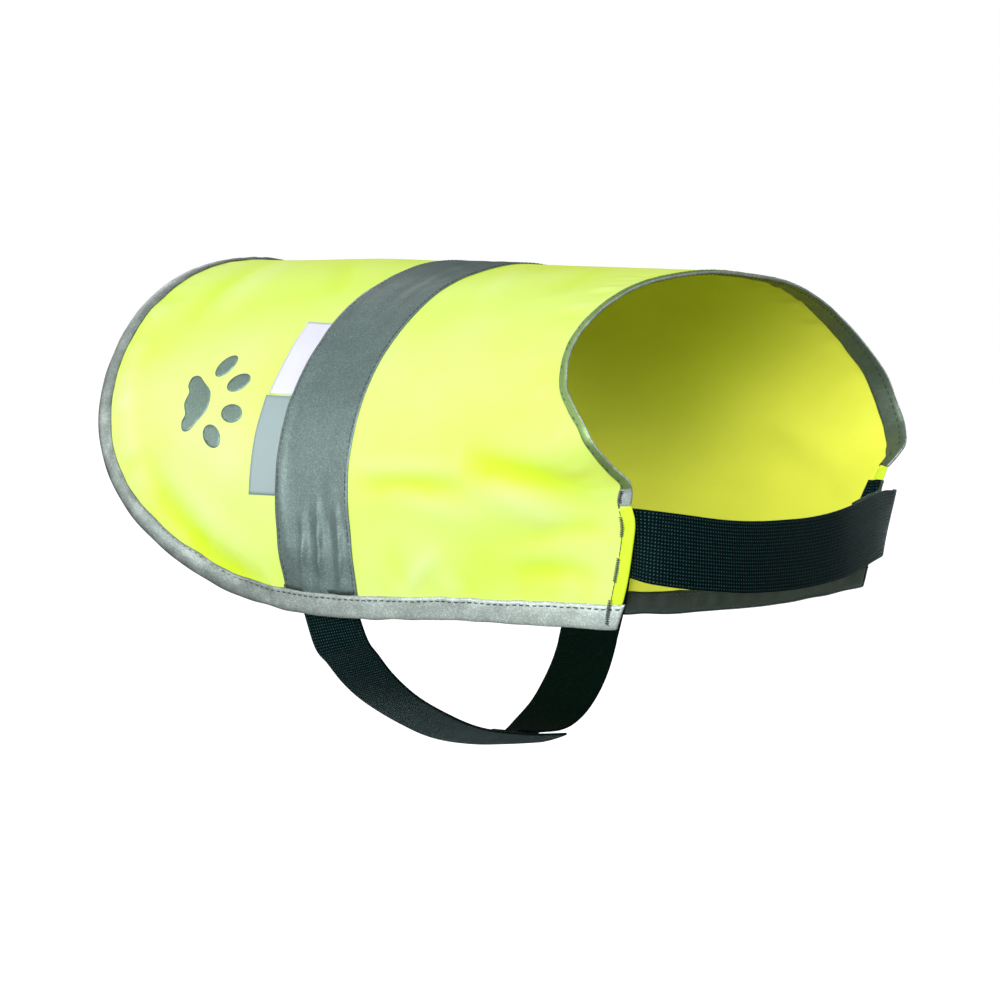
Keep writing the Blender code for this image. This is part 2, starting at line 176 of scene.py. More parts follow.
# Heights of the middle of each layer over the panel's inner face.
CLOTH_LIFT = 0.75
TRIM_LIFT = 1.55
TRIM_INNER_LIFT = -0.1
BAND_LIFT = 1.5
LABEL_LIFT = 1.25
MOTIF_LIFT = CLOTH_LIFT + 0.36
TURNED_LIFTS = (1.45, 0.0)

# Soft folds of the worn cloth: side, height, half width, and the line it follows by x and girth share.
FOLDS = (
    (-1, -1.3, 9.0, ((-140.0, 0.68), (-122.0, 0.78), (-86.0, 0.90), (-48.0, 0.965))),
    (-1, 1.0, 10.0, ((-118.0, 0.70), (-84.0, 0.82), (-44.0, 0.92))),
    (-1, 0.8, 6.0, ((-168.0, 0.30), (-163.0, 0.50), (-146.0, 0.68), (-118.0, 0.83))),
    (-1, -1.4, 9.0, ((-148.0, 0.04), (-140.0, 0.20), (-136.0, 0.42))),
    (-1, 0.7, 8.0, ((-122.0, 0.06), (-116.0, 0.20), (-112.0, 0.38))),
    (-1, -0.8, 9.0, ((-88.0, 0.05), (-66.0, 0.16), (-46.0, 0.30))),
    (-1, 0.6, 8.0, ((40.0, 0.06), (58.0, 0.20), (66.0, 0.36))),
    (-1, -0.8, 9.0, ((96.0, 0.04), (104.0, 0.16), (112.0, 0.30))),
    (-1, -2.2, 9.0, ((96.0, 0.69), (122.0, 0.71), (150.0, 0.73), (178.0, 0.765))),
    (-1, 1.0, 9.0, ((112.0, 0.735), (136.0, 0.78), (164.0, 0.83))),
    (-1, 0.9, 6.5, ((16.0, 0.705), (58.0, 0.708), (102.0, 0.715))),
    (-1, -1.3, 5.5, ((20.0, 0.735), (60.0, 0.735), (104.0, 0.745))),
    (-1, 0.7, 7.0, ((44.0, 0.75), (74.0, 0.78), (112.0, 0.80))),
    (-1, -0.9, 5.0, ((178.0, 0.835), (158.0, 0.825), (132.0, 0.84))),
    (-1, -0.9, 6.0, ((174.0, 0.925), (150.0, 0.90), (118.0, 0.90))),
    (-1, 0.7, 7.0, ((168.0, 0.88), (140.0, 0.87), (104.0, 0.88))),
    (-1, -0.8, 7.0, ((42.0, 0.84), (44.0, 0.90), (50.0, 0.965))),
    (-1, 1.0, 5.0, ((44.0, 0.965), (58.0, 0.91), (78.0, 0.85))),
    (-1, -0.9, 20.0, ((72.0, 0.90), (112.0, 0.88), (168.0, 0.88))),
    (-1, 0.8, 22.0, ((-150.0, 0.48), (-112.0, 0.64), (-56.0, 0.74))),
    (-1, 1.1, 1.8, ((-15.0, 0.80), (-18.0, 0.87), (-24.0, 0.965))),
    (-1, -0.5, 2.4, ((-10.0, 0.77), (-12.0, 0.86), (-17.0, 0.96))),
    (-1, 1.3, 1.7, ((-3.0, 0.76), (-6.0, 0.86), (-11.0, 0.965))),
    (-1, -0.6, 2.6, ((4.0, 0.79), (2.0, 0.87), (-3.0, 0.955))),
    (-1, 1.0, 1.9, ((10.0, 0.77), (8.0, 0.87), (2.0, 0.965))),
    (-1, 0.9, 3.4, ((-28.0, 0.44), (-29.0, 0.60), (-30.0, 0.88))),
    (1, -1.2, 9.0, ((-136.0, 0.70), (-112.0, 0.82), (-72.0, 0.93), (-38.0, 0.965))),
    (1, 0.9, 9.0, ((-112.0, 0.68), (-76.0, 0.80), (-42.0, 0.89))),
    (1, 0.7, 6.0, ((-166.0, 0.26), (-160.0, 0.46), (-142.0, 0.66), (-120.0, 0.80))),
    (1, -0.8, 9.0, ((-134.0, 0.08), (-128.0, 0.24), (-118.0, 0.42))),
    (1, 0.6, 8.0, ((-92.0, 0.05), (-84.0, 0.18), (-72.0, 0.34))),
    (1, -0.8, 9.0, ((52.0, 0.05), (70.0, 0.18), (78.0, 0.34))),
    (1, 0.7, 9.0, ((108.0, 0.06), (116.0, 0.18), (118.0, 0.30))),
    (1, -1.2, 10.0, ((92.0, 0.62), (120.0, 0.69), (150.0, 0.74))),
    (1, 0.9, 9.0, ((98.0, 0.71), (128.0, 0.77), (158.0, 0.83))),
    (1, -0.9, 6.0, ((168.0, 0.92), (140.0, 0.89), (110.0, 0.89))),
    (1, -0.8, 7.0, ((58.0, 0.83), (62.0, 0.90), (70.0, 0.965))),
    (1, 0.7, 7.0, ((34.0, 0.74), (62.0, 0.76), (96.0, 0.79))),
    (1, 0.9, 3.6, ((-20.0, 0.78), (-22.0, 0.86), (-28.0, 0.955))),
    (1, -0.6, 3.2, ((-13.0, 0.80), (-15.0, 0.88), (-20.0, 0.955))),
    (1, 0.8, 3.4, ((-4.0, 0.77), (-6.0, 0.86), (-9.0, 0.955))),
    (1, 0.8, 3.8, ((8.0, 0.79), (6.0, 0.87), (0.0, 0.955))),
    (1, 0.7, 5.0, ((22.0, 0.40), (20.0, 0.58), (14.0, 0.80))),
)

# Soft studio light: ambient share, the lamps' size, then each lamp's place in metres and power.
AMBIENT = 0.06
LAMP_SIZE = 1.1
LAMPS = (
    ("front side", (0.5, -2.0, 0.3), 50.0),
    ("neck light", (1.52, -1.28, 0.80), 35.0),
    ("top", (0.1, -0.5, 2.0), 13.0),
    ("low fill", (-0.5, -1.7, -0.50), 20.0),
    ("rear", (-1.6, 0.8, 0.6), 8.0),
    ("rear side", (-1.8, -1.0, 0.3), 9.0),
    ("left fill", (-0.4, 2.1, 0.2), 12.0),
)

# Where the camera and the lamps look, and the floor's half size and glow.
CAMERA_TARGET = (0.008, 0.0, -0.1335)
LAMP_TARGET = (0.0, 0.0, -0.12)
FLOOR_REACH = 14.0
FLOOR_GLOW = 1.1


class VestClothSettings(bpy.types.PropertyGroup):
    """The yellow cloth and its printed motif."""

    # The face's colour holds painted light: the pale ridge colour is a painted sheen, and the deeper fold
    # colour is painted shade in the troughs.
    colour: bpy.props.FloatVectorProperty(
        name="Cloth colour", description="Colour of the cloth on its ridges", subtype="COLOR", size=4,
        min=0.0, max=1.0, default=(0.32, 0.43, 0.250, 1.0))
    fold_shade_colour: bpy.props.FloatVectorProperty(
        name="Painted fold shade colour", description="Colour of the cloth in its troughs", subtype="COLOR",
        size=4, min=0.0, max=1.0, default=(0.27, 0.43, 0.025, 1.0))
    # Painted glow: the dye's fluorescence is real, but here it shines at one strength whatever the lamps, and
    # it also stands in for the strong light on the cloth.
    painted_glow: bpy.props.FloatProperty(
        name="Painted glow", description="How much light the dye gives off", default=0.5, min=0.0, max=1.0)
    painted_glow_colour: bpy.props.FloatVectorProperty(
        name="Painted glow colour", description="Colour of the light the dye gives off", subtype="COLOR",
        size=4, min=0.0, max=1.0, default=(0.90, 1.0, 0.02, 1.0))
    reverse_colour_and_leg_shade: bpy.props.FloatVectorProperty(
        name="Reverse colour", description="Colour of the cloth's inner side", subtype="COLOR", size=4,
        min=0.0, max=1.0, default=(0.72, 0.75, 0.076, 1.0))
    thickness: bpy.props.FloatProperty(
        name="Cloth thickness", description="Thickness of the cloth", default=0.0006, unit="LENGTH")
    mesh_step: bpy.props.FloatProperty(
        name="Mesh step", description="Spacing of points over the cloth", default=0.0034, unit="LENGTH")
    fold_depth: bpy.props.FloatProperty(
        name="Fold depth", description="Scale of the soft folds", default=1.5, min=0.0, max=2.0)
    turned_edge: bpy.props.FloatProperty(
        name="Turned edge", description="Width of the turned front edges", default=0.0054, unit="LENGTH")
    motif_size: bpy.props.FloatProperty(
        name="Motif size", description="Width of the printed paw pad", default=0.034, unit="LENGTH")
    motif_colour: bpy.props.FloatVectorProperty(
        name="Motif colour", description="Colour of the reflective print", subtype="COLOR", size=4,
        min=0.0, max=1.0, default=(0.145, 0.210, 0.180, 1.0))


class VestTrimSettings(bpy.types.PropertyGroup):
    """Reflective tape, bindings, labels and thread."""

    band_width: bpy.props.FloatProperty(
        name="Band width", description="Width of the girth band", default=0.052, unit="LENGTH")
    binding_width: bpy.props.FloatProperty(
        name="Binding width", description="Width that shows of the hem's folded binding", default=0.0127,
        unit="LENGTH")
    neck_width: bpy.props.FloatProperty(
        name="Neck binding width", description="Width that shows of the neck's folded binding",
        default=0.0027, unit="LENGTH")
    tape_colour: bpy.props.FloatVectorProperty(
        name="Tape colour", description="Colour of the reflective girth band", subtype="COLOR", size=4,
        min=0.0, max=1.0, default=(0.108, 0.152, 0.145, 1.0))
    binding_colour: bpy.props.FloatVectorProperty(
        name="Binding colour", description="Colour of the reflective binding", subtype="COLOR", size=4,
        min=0.0, max=1.0, default=(0.340, 0.400, 0.375, 1.0))
    neck_colour: bpy.props.FloatVectorProperty(
        name="Neck binding colour", description="Colour of the neck's binding", subtype="COLOR", size=4,
        min=0.0, max=1.0, default=(0.160, 0.255, 0.085, 1.0))
    # The bindings' inner legs are coloured darker than their outer legs: painted shade for legs that lie in
    # shade.
    reverse_colour_and_leg_shade: bpy.props.FloatVectorProperty(
        name="Hem binding reverse in painted shade", description="Colour of the hem binding's inner leg", subtype="COLOR",
        size=4, min=0.0, max=1.0, default=(0.022, 0.036, 0.030, 1.0))
    neck_reverse_shade: bpy.props.FloatVectorProperty(
        name="Neck binding reverse", description="Colour of the neck binding's inner leg", subtype="COLOR",
        size=4, min=0.0, max=1.0, default=(0.078, 0.112, 0.082, 1.0))
    label_white: bpy.props.FloatVectorProperty(
        name="White label", description="Colour of the upper label", subtype="COLOR", size=4,
        min=0.0, max=1.0, default=(0.44, 0.45, 0.52, 1.0))
    label_grey: bpy.props.FloatVectorProperty(
        name="Grey label", description="Colour of the lower label", subtype="COLOR", size=4,
        min=0.0, max=1.0, default=(0.185, 0.245, 0.25, 1.0))
    thread_colour: bpy.props.FloatVectorProperty(
        name="Thread colour", description="Colour of the sewing thread", subtype="COLOR", size=4,
        min=0.0, max=1.0, default=(0.018, 0.028, 0.025, 1.0))
    stitch_pitch: bpy.props.FloatProperty(
        name="Stitch pitch", description="Distance from stitch to stitch", default=0.0041, unit="LENGTH")


class VestWebbingSettings(bpy.types.PropertyGroup):
    """The elastic chest and belly straps."""

    width: bpy.props.FloatProperty(
        name="Webbing width", description="Width of the elastic", default=0.037, unit="LENGTH")
    thickness: bpy.props.FloatProperty(
        name="Webbing thickness", description="Thickness of the elastic", default=0.0014, unit="LENGTH")
    rib_pitch: bpy.props.FloatProperty(
        name="Rib pitch", description="Distance between the ribs of the elastic", default=0.0018,
        unit="LENGTH")
    colour: bpy.props.FloatVectorProperty(
        name="Webbing colour", description="Colour of the ribbed elastic", subtype="COLOR", size=4,
        min=0.0, max=1.0, default=(0.0006, 0.0038, 0.0040, 1.0))
    loop_colour: bpy.props.FloatVectorProperty(
        name="Loop colour", description="Colour of the brushed loop face", subtype="COLOR", size=4,
        min=0.0, max=1.0, default=(0.0015, 0.0060, 0.0042, 1.0))
    hook_colour: bpy.props.FloatVectorProperty(
        name="Hook colour", description="Colour of the hook tape", subtype="COLOR", size=4,
        min=0.0, max=1.0, default=(0.005, 0.007, 0.008, 1.0))
    # Painted highlight: the colour of the light dots on the crests of the ribs.
    crest_highlight_colour: bpy.props.FloatVectorProperty(
        name="Crest highlight colour", description="Colour of the light dots in the elastic", subtype="COLOR", size=4,
        min=0.0, max=1.0, default=(0.05, 0.12, 0.125, 1.0))


class VestStageSettings(bpy.types.PropertyGroup):
    """Camera, floor and light."""

    azimuth: bpy.props.FloatProperty(
        name="Azimuth", description="Camera turn round the vest", default=math.radians(37.0),
        subtype="ANGLE")
    elevation: bpy.props.FloatProperty(
        name="Elevation", description="Camera height angle", default=math.radians(3.5), subtype="ANGLE")
    distance: bpy.props.FloatProperty(
        name="Distance", description="Camera distance", default=1.82, unit="LENGTH")
    lens: bpy.props.FloatProperty(name="Lens", description="Focal length in mm", default=115.2)
    floor_z: bpy.props.FloatProperty(
        name="Floor height", description="Height of the floor", default=-0.62, unit="LENGTH")
    floor_colour: bpy.props.FloatVectorProperty(
        name="Floor colour", description="Colour of the floor", subtype="COLOR", size=4,
        min=0.0, max=1.0, default=(0.93, 0.93, 0.93, 1.0))


# The worn form, in millimetres.

def smooth(knots, values, at, first_slope=None):
    """Value of a smooth curve that passes the knots without overshoot."""
    step = np.diff(knots)
    rise = np.diff(values) / step
    slope = np.zeros(len(knots))
    slope[0] = rise[0] if first_slope is None else first_slope
    slope[-1] = rise[-1]
    for i in range(1, len(knots) - 1):
        if rise[i - 1] * rise[i] > 0:
            slope[i] = 2.0 * rise[i - 1] * rise[i] / (rise[i - 1] + rise[i])
    i = np.clip(np.searchsorted(knots, at) - 1, 0, len(knots) - 2)
    t = (at - knots[i]) / step[i]
    inside = np.clip(t, 0.0, 1.0)
    curve = ((1.0 + 2.0 * inside) * (1.0 - inside) ** 2 * values[i]
             + inside * (1.0 - inside) ** 2 * step[i] * slope[i]
             + inside ** 2 * (3.0 - 2.0 * inside) * values[i + 1]
             + inside ** 2 * (inside - 1.0) * step[i] * slope[i + 1])
    return curve + (t - inside) * step[i] * np.where(t < 0.0, slope[0], slope[-1])


def half_section(x, side):
    """One side of the section at x: length from the dorsal line, y, z and the length to the hem."""
    table = np.array(SECTIONS)
    s = {name: float(smooth(table[:, 0], table[:, i], x)) for i, name in enumerate(SECTION_COLUMNS) if i}
    hem_z = s["hem_right_z"] if side < 0 else s["hem_left_z"]
    angle = np.linspace(0.0, math.pi / 2, 180)
    y = s["wide"] * np.sin(angle) ** (2.0 / s["fullness"])
    z = s["crown"] - (s["crown"] - s["wide_z"]) * (1.0 - np.cos(angle) ** (2.0 / s["fullness"]))
    depth = np.linspace(-s["wide_z"], -hem_z + 12.0, 120)[1:]
    heights = np.array((-s["wide_z"], -s["waist_z"], -hem_z))
    halves = np.array((s["wide"], s["waist"], s["hem"]))
    y = np.concatenate((y, smooth(heights, halves, depth, first_slope=0.0)))
    z = np.concatenate((z, -depth))
    length = np.concatenate(((0.0,), np.cumsum(np.hypot(np.diff(y), np.diff(z)))))
    return length, side * y, z, float(np.interp(-hem_z, -z, length))


GRID_X = np.arange(-196.0, 200.1, 3.0)
GRID_V = np.arange(-330.0, 330.1, 1.0)


def worn_grids():
    """Grids of y and z over x and girth, and the girth to the hem on each side at each x."""
    y = np.zeros((len(GRID_X), len(GRID_V)))
    z = np.zeros_like(y)
    hems = {-1: [], 1: []}
    for i, x in enumerate(GRID_X):
        for side in (-1, 1):
            length, side_y, side_z, hem = half_section(x, side)
            here = GRID_V * side >= 0.0
            y[i, here] = np.interp(np.abs(GRID_V[here]), length, side_y)
            z[i, here] = np.interp(np.abs(GRID_V[here]), length, side_z)
            hems[side].append(hem)
    return y, z, hems


WORN_Y, WORN_Z, HEM_GIRTH = worn_grids()


def girth(x, side):
    """Length of cloth from the dorsal line to the hem at x."""
    return np.interp(x, GRID_X, HEM_GIRTH[side])


def sampled(grid, x, v):
    """Value of a grid between its points."""
    fx = np.clip((x - GRID_X[0]) / (GRID_X[1] - GRID_X[0]), 0.0, len(GRID_X) - 1.001)
    fv = np.clip((v - GRID_V[0]) / (GRID_V[1] - GRID_V[0]), 0.0, len(GRID_V) - 1.001)
    i, j = fx.astype(int), fv.astype(int)
    a, b = fx - i, fv - j
    return ((1 - a) * (1 - b) * grid[i, j] + a * (1 - b) * grid[i + 1, j]
            + (1 - a) * b * grid[i, j + 1] + a * b * grid[i + 1, j + 1])


def skin(x, v):
    """Points on the panel's inner face."""
    x, v = np.broadcast_arrays(np.asarray(x, float), np.asarray(v, float))
    return np.stack((x, sampled(WORN_Y, x, v), sampled(WORN_Z, x, v)), axis=-1)


def outward(x, v):
    """Unit normals of the panel's inner face, pointing out."""
    along = skin(np.asarray(x) + 4.0, v) - skin(np.asarray(x) - 4.0, v)
    down = skin(x, np.asarray(v) + 3.0) - skin(x, np.asarray(v) - 3.0)
    normal = np.cross(along, down)
    return normal / np.linalg.norm(normal, axis=-1, keepdims=True)


def wander(s, seed, period):
    """Smooth irregular wave of about unit height along a length, the same each run."""
    rng = np.random.default_rng(seed)
    wave = np.zeros_like(np.asarray(s, float))
    for _ in range(6):
        wave += np.sin(2 * math.pi * s / (period * rng.uniform(0.55, 1.9)) + rng.uniform(0.0, 2 * math.pi))
    return wave / 2.6


def flat_points(rows, side):
    """Rows of girth share and x as points of the flat panel."""
    return [(x, side * share * float(girth(x, side))) for share, x in rows]


def rounded_path(points, step):
    """Points at an even step along a smooth curve through the given ones."""
    p = np.array(points, dtype=float)
    ends = np.vstack((2 * p[0] - p[1], p, 2 * p[-1] - p[-2]))
    t = np.linspace(0.0, 1.0, 24, endpoint=False)[:, None]
    fine = [0.5 * (2 * b + (c - a) * t + (2 * a - 5 * b + 4 * c - d) * t * t
                   + (3 * b - a - 3 * c + d) * t ** 3)
            for a, b, c, d in zip(ends, ends[1:], ends[2:], ends[3:])]
    fine = np.vstack(fine + [p[-1:]])
    length = np.concatenate(((0.0,), np.cumsum(np.linalg.norm(np.diff(fine, axis=0), axis=1))))
    count = max(2, round(length[-1] / step))
    at = np.linspace(0.0, length[-1], count + 1)
    return np.stack([np.interp(at, length, fine[:, i]) for i in range(p.shape[1])], axis=1)


def hem_path(step=PATH_STEP):
    """Bound edge: right hem from the front, round the rear, left hem to the front."""
    right_rows = [(1.0, x) for x in (FRONT_HEM_X,) + HEM_X[::-1]] + list(REAR_EDGE[::-1])
    left_rows = list(REAR_EDGE[1:]) + [(1.0, x) for x in HEM_X + (FRONT_HEM_X,)]
    return rounded_path(flat_points(right_rows, -1) + flat_points(left_rows, 1), step)


def neck_path(step=PATH_STEP):
    """Bound edge: round the neck from the right corner to the left one."""
    points = flat_points(NECK_RIGHT, -1) + [(NECK_MIDDLE_X, 0.0)] + flat_points(NECK_LEFT, 1)
    return rounded_path(points, step)


def front_path(side, corner, step):
    """Turned front edge from the hem up to the neck corner."""
    rows = FRONT_RIGHT if side < 0 else FRONT_LEFT
    low = [(FRONT_HEM_X, side * float(girth(FRONT_HEM_X, side)))]
    return rounded_path(low + flat_points(rows[::-1], side) + [tuple(corner)], step)


def unit_rows(vectors):
    """Each row brought to unit length."""
    return vectors / np.linalg.norm(vectors, axis=1)[:, None]


def inset(path, distance, inward_side):
    """The path moved sideways over the flat panel, by one distance or one for each point."""
    tangent = unit_rows(np.gradient(path, axis=0))
    normal = np.stack((-tangent[:, 1], tangent[:, 0]), axis=1) * inward_side
    return path + np.broadcast_to(distance, len(path))[:, None] * normal


def run_length(path):
    """Length along a path at each of its points."""
    return np.concatenate(((0.0,), np.cumsum(np.linalg.norm(np.diff(path, axis=0), axis=1))))


def from_ends(path):
    """Distance of each point of a path from its nearer end."""
    run = run_length(path)
    return np.minimum(run, run[-1] - run)


def hem_widths(path, outside=True):
    """Width of the hem binding's legs, narrower round the rear but for its middle."""
    full = bpy.context.scene.vest_trims.binding_width / MM
    share = np.interp(path[:, 0], (-184.0, -165.0, -150.0, -110.0, -60.0), (0.60, 0.71, 0.78, 0.94, 1.0))
    share = share + 0.28 * np.exp(-(path[:, 1] / 95.0) ** 2)
    run = run_length(path)
    return full * share + 0.3 * wander(run, 41 if outside else 42, 60.0) + 0.12 * wander(run, 43, 14.0)


def neck_widths(path, outside=True):
    """Width of the neck binding's legs: a narrow outer leg that widens at its ends, and a wider inner leg."""
    run = run_length(path)
    end = np.exp(-(from_ends(path) / 9.5) ** 4)
    if outside:
        low = np.exp(-(from_ends(path) / 42.0) ** 2)
        shown = bpy.context.scene.vest_trims.neck_width / MM + 1.6 * low + 2.4 * end
    else:
        shown = 11.5 - 5.0 * end
    return shown + 0.2 * wander(run, 44 if outside else 45, 60.0) + 0.12 * wander(run, 46, 14.0)


def nearest_on(path, x, v):
    """Distance from each flat point to a path, and the path's length and share there."""
    gap = np.hypot(x[:, None] - path[None, :, 0], v[:, None] - path[None, :, 1])
    at = np.argmin(gap, axis=1)
    run = run_length(path)
    return gap[np.arange(len(x)), at], run[at], run[at] / run[-1]


HEM_LINE = hem_path()
NECK_LINE = neck_path()
FOLD_LINES = [(height, width, rounded_path(flat_points([row[::-1] for row in rows], side), PATH_STEP))
              for side, height, width, rows in FOLDS]


def fold_height(x, v):
    """Height of the soft folds, with the puckers beside the sewn edges."""
    shape = np.shape(x)
    x, v = np.ravel(x), np.ravel(v)
    depth = bpy.context.scene.vest_cloth.fold_depth
    height = 0.35 * wander(x + 0.6 * v, 11, 150.0) + 0.3 * wander(v - 0.5 * x, 12, 120.0)
    for tall, width, path in FOLD_LINES:
        gap, _, share = nearest_on(path, x, v)
        height += tall * np.exp(-(gap / width) ** 2) * np.sin(math.pi * np.clip(share, 0.0, 1.0)) ** 0.8
    for path, seed, period in ((HEM_LINE, 21, 22.0), (NECK_LINE, 22, 20.0)):
        gap, run, _ = nearest_on(path, x, v)
        height += 0.32 * wander(run, seed, period) * np.exp(-((gap - 17.0) / 8.0) ** 2)
    return (height * depth).reshape(shape)


def cloth_points(x, v, lift):
    """Points lifted off the folded cloth along its normal."""
    x, v = np.broadcast_arrays(np.asarray(x, float), np.asarray(v, float))
    return skin(x, v) + outward(x, v) * (np.asarray(lift) + fold_height(x, v))[..., None]


# Meshes.

def new_piece(name, points, faces, material, uv):
    """An object from points in millimetres, with a pair of flat coordinates in millimetres for each."""
    mesh = bpy.data.meshes.new(name)
    mesh.from_pydata((np.asarray(points) * MM).tolist(), [], [tuple(f) for f in faces])
    mesh.update()
    layer = mesh.uv_layers.new(name="flat")
    corners = np.array([loop.vertex_index for loop in mesh.loops])
    layer.data.foreach_set("uv", (np.asarray(uv)[corners] * MM).ravel())
    mesh.shade_smooth()
    mesh.materials.append(material)
    piece = bpy.data.objects.new(name, mesh)
    bpy.context.scene.collection.objects.link(piece)
    return piece


def paint(piece, name, values):
    """A named value at each point, for the materials."""
    piece.data.attributes.new(name, "FLOAT", "POINT").data.foreach_set("value", values)


def thicken(piece, thickness):
    """Gives an open surface its wall, half to each side."""
    shell = piece.modifiers.new("wall", "SOLIDIFY")
    shell.thickness = thickness
    shell.offset = 0.0
    shell.use_even_offset = False
    return shell


def grid_faces(rows, columns):
    """Four-sided faces over a grid of points, row by row."""
    return [(r * columns + c, (r + 1) * columns + c, (r + 1) * columns + c + 1, r * columns + c + 1)
            for r in range(rows - 1) for c in range(columns - 1)]


def facing(points, faces, normals):
    """The faces, turned so that they look along the given normals."""
    points, faces = np.asarray(points), [list(f) for f in faces]
    total = 0.0
    for face in faces[:: max(1, len(faces) // 400)]:
        a, b, c = points[face[0]], points[face[1]], points[face[2]]
        total += float(np.dot(np.cross(b - a, c - a), normals[face[0]]))
    return faces if total > 0.0 else [face[::-1] for face in faces]


def laid_grid(name, x, v, lift, material, thickness):
    """A strip lying on the folded cloth, from arrays of flat points and heights."""
    points = cloth_points(x, v, lift).reshape(-1, 3)
    normals = outward(x, v).reshape(-1, 3)
    faces = facing(points, grid_faces(*x.shape), normals)
    piece = new_piece(name, points, faces, material, np.stack((x, v), axis=-1).reshape(-1, 2))
    thicken(piece, thickness)
    return piece


def inside_outline(outline, points):
    """Which flat points are inside a closed outline."""
    a, b = outline, np.roll(outline, -1, axis=0)
    x, v = points[:, 0][:, None], points[:, 1][:, None]
    crosses = (a[:, 1][None] > v) != (b[:, 1][None] > v)
    rise = np.where(a[:, 1] == b[:, 1], 1.0, b[:, 1] - a[:, 1])[None]
    cut = a[:, 0][None] + (v - a[:, 1][None]) / rise * (b[:, 0] - a[:, 0])[None]
    return np.count_nonzero(crosses & (x < cut), axis=1) % 2 == 1


def filled_outline(outline, step):
    """Flat points and faces that fill a closed outline at an even spacing."""
    xs = np.arange(outline[:, 0].min(), outline[:, 0].max(), step)
    vs = np.arange(outline[:, 1].min(), outline[:, 1].max(), step * ROW_SHARE)
    shift = (np.arange(len(vs)) % 2)[:, None] * step / 2
    field = np.stack((xs[None] + shift, np.broadcast_to(vs[:, None], (len(vs), len(xs)))), axis=-1)
    field = field.reshape(-1, 2)
    field = field[inside_outline(outline, field)]
    gap = np.concatenate([np.min(np.hypot(part[:, 0][:, None] - outline[None, :, 0],
                                          part[:, 1][:, None] - outline[None, :, 1]), axis=1)
                          for part in np.array_split(field, 8)])
    field = field[gap > EDGE_SHARE * step]
    points = [Vector(p) for p in np.vstack((outline, field))]
    edges = [(i, (i + 1) % len(outline)) for i in range(len(outline))]
    flat, _, faces, _, _, _ = delaunay_2d_cdt(points, edges, [list(range(len(outline)))], 1, 1e-4)
    return np.array([tuple(p) for p in flat]), faces


def panel_outline(step):
    """Closed edge of the flat panel."""
    hem, neck = hem_path(step), neck_path(step)
    right = front_path(-1, neck[0], step)
    left = front_path(1, neck[-1], step)
    return np.vstack((hem[:-1], left[:-1], neck[::-1][:-1], right[::-1][:-1]))


# Materials.

def node(tree, kind, inputs=None, **settings):
    """Adds a node; inputs maps a socket's name or number to a value or to another node's socket."""
    made = tree.nodes.new(kind)
    for name, value in settings.items():
        setattr(made, name, value)
    for key, value in (inputs or {}).items():
        if isinstance(value, bpy.types.NodeSocket):
            tree.links.new(value, made.inputs[key])
        else:
            made.inputs[key].default_value = value
    return made


def maths(tree, operation, first, second=0.0, third=0.0):
    """A Math node's value."""
    return node(tree, "ShaderNodeMath", {0: first, 1: second, 2: third}, operation=operation).outputs[0]


def new_group(name, sizes, outputs):
    """An empty shader group over a Vector; sizes are its other inputs with their defaults."""
    tree = bpy.data.node_groups.new(name, "ShaderNodeTree")
    tree.interface.new_socket("Vector", in_out="INPUT", socket_type="NodeSocketVector")
    for label, default in sizes.items():
        socket = tree.interface.new_socket(label, in_out="INPUT", socket_type="NodeSocketFloat")
        socket.default_value = default
    for label in outputs:
        tree.interface.new_socket(label, in_out="OUTPUT", socket_type="NodeSocketFloat")
    return tree, tree.nodes.new("NodeGroupInput"), tree.nodes.new("NodeGroupOutput")


def weave_group():
    """Plain weave over flat coordinates: Height rises on each crossing, and Gap darkens between yarns as
    painted shade.
    """
    if "Plain weave" in bpy.data.node_groups:
        return bpy.data.node_groups["Plain weave"]
    tree, given, out = new_group("Plain weave", {"Pitch": 0.0006}, ("Height", "Gap"))
    split = node(tree, "ShaderNodeSeparateXYZ", {0: given.outputs["Vector"]})
    turns = maths(tree, "DIVIDE", math.pi, given.outputs["Pitch"])
    across = maths(tree, "SINE", maths(tree, "MULTIPLY", split.outputs[0], turns))
    down = maths(tree, "SINE", maths(tree, "MULTIPLY", split.outputs[1], turns))
    tree.links.new(maths(tree, "MULTIPLY_ADD", maths(tree, "MULTIPLY", across, down), 0.5, 0.5),
                   out.inputs["Height"])
    narrow = maths(tree, "MULTIPLY", maths(tree, "ABSOLUTE", across), maths(tree, "ABSOLUTE", down))
    tree.links.new(maths(tree, "POWER", narrow, 0.5), out.inputs["Gap"])
    return tree


def bead_group():
    """Glass bead finish of reflective tape: fine Sparkle of painted glints, a slower Cloud, and a Height."""
    if "Bead finish" in bpy.data.node_groups:
        return bpy.data.node_groups["Bead finish"]
    tree, given, out = new_group("Bead finish", {"Grain": 0.0007}, ("Sparkle", "Cloud", "Height"))
    place = given.outputs["Vector"]
    scale = maths(tree, "DIVIDE", 1.0, given.outputs["Grain"])
    cells = node(tree, "ShaderNodeTexVoronoi", {"Vector": place, "Scale": scale})
    shade = node(tree, "ShaderNodeSeparateColor", {0: cells.outputs["Color"]})
    tree.links.new(shade.outputs[0], out.inputs["Sparkle"])
    cloud = node(tree, "ShaderNodeTexNoise", {"Vector": place, "Scale": 110.0, "Detail": 3.0})
    tree.links.new(cloud.outputs[0], out.inputs["Cloud"])
    tree.links.new(maths(tree, "SUBTRACT", 1.0, cells.outputs["Distance"]), out.inputs["Height"])
    return tree


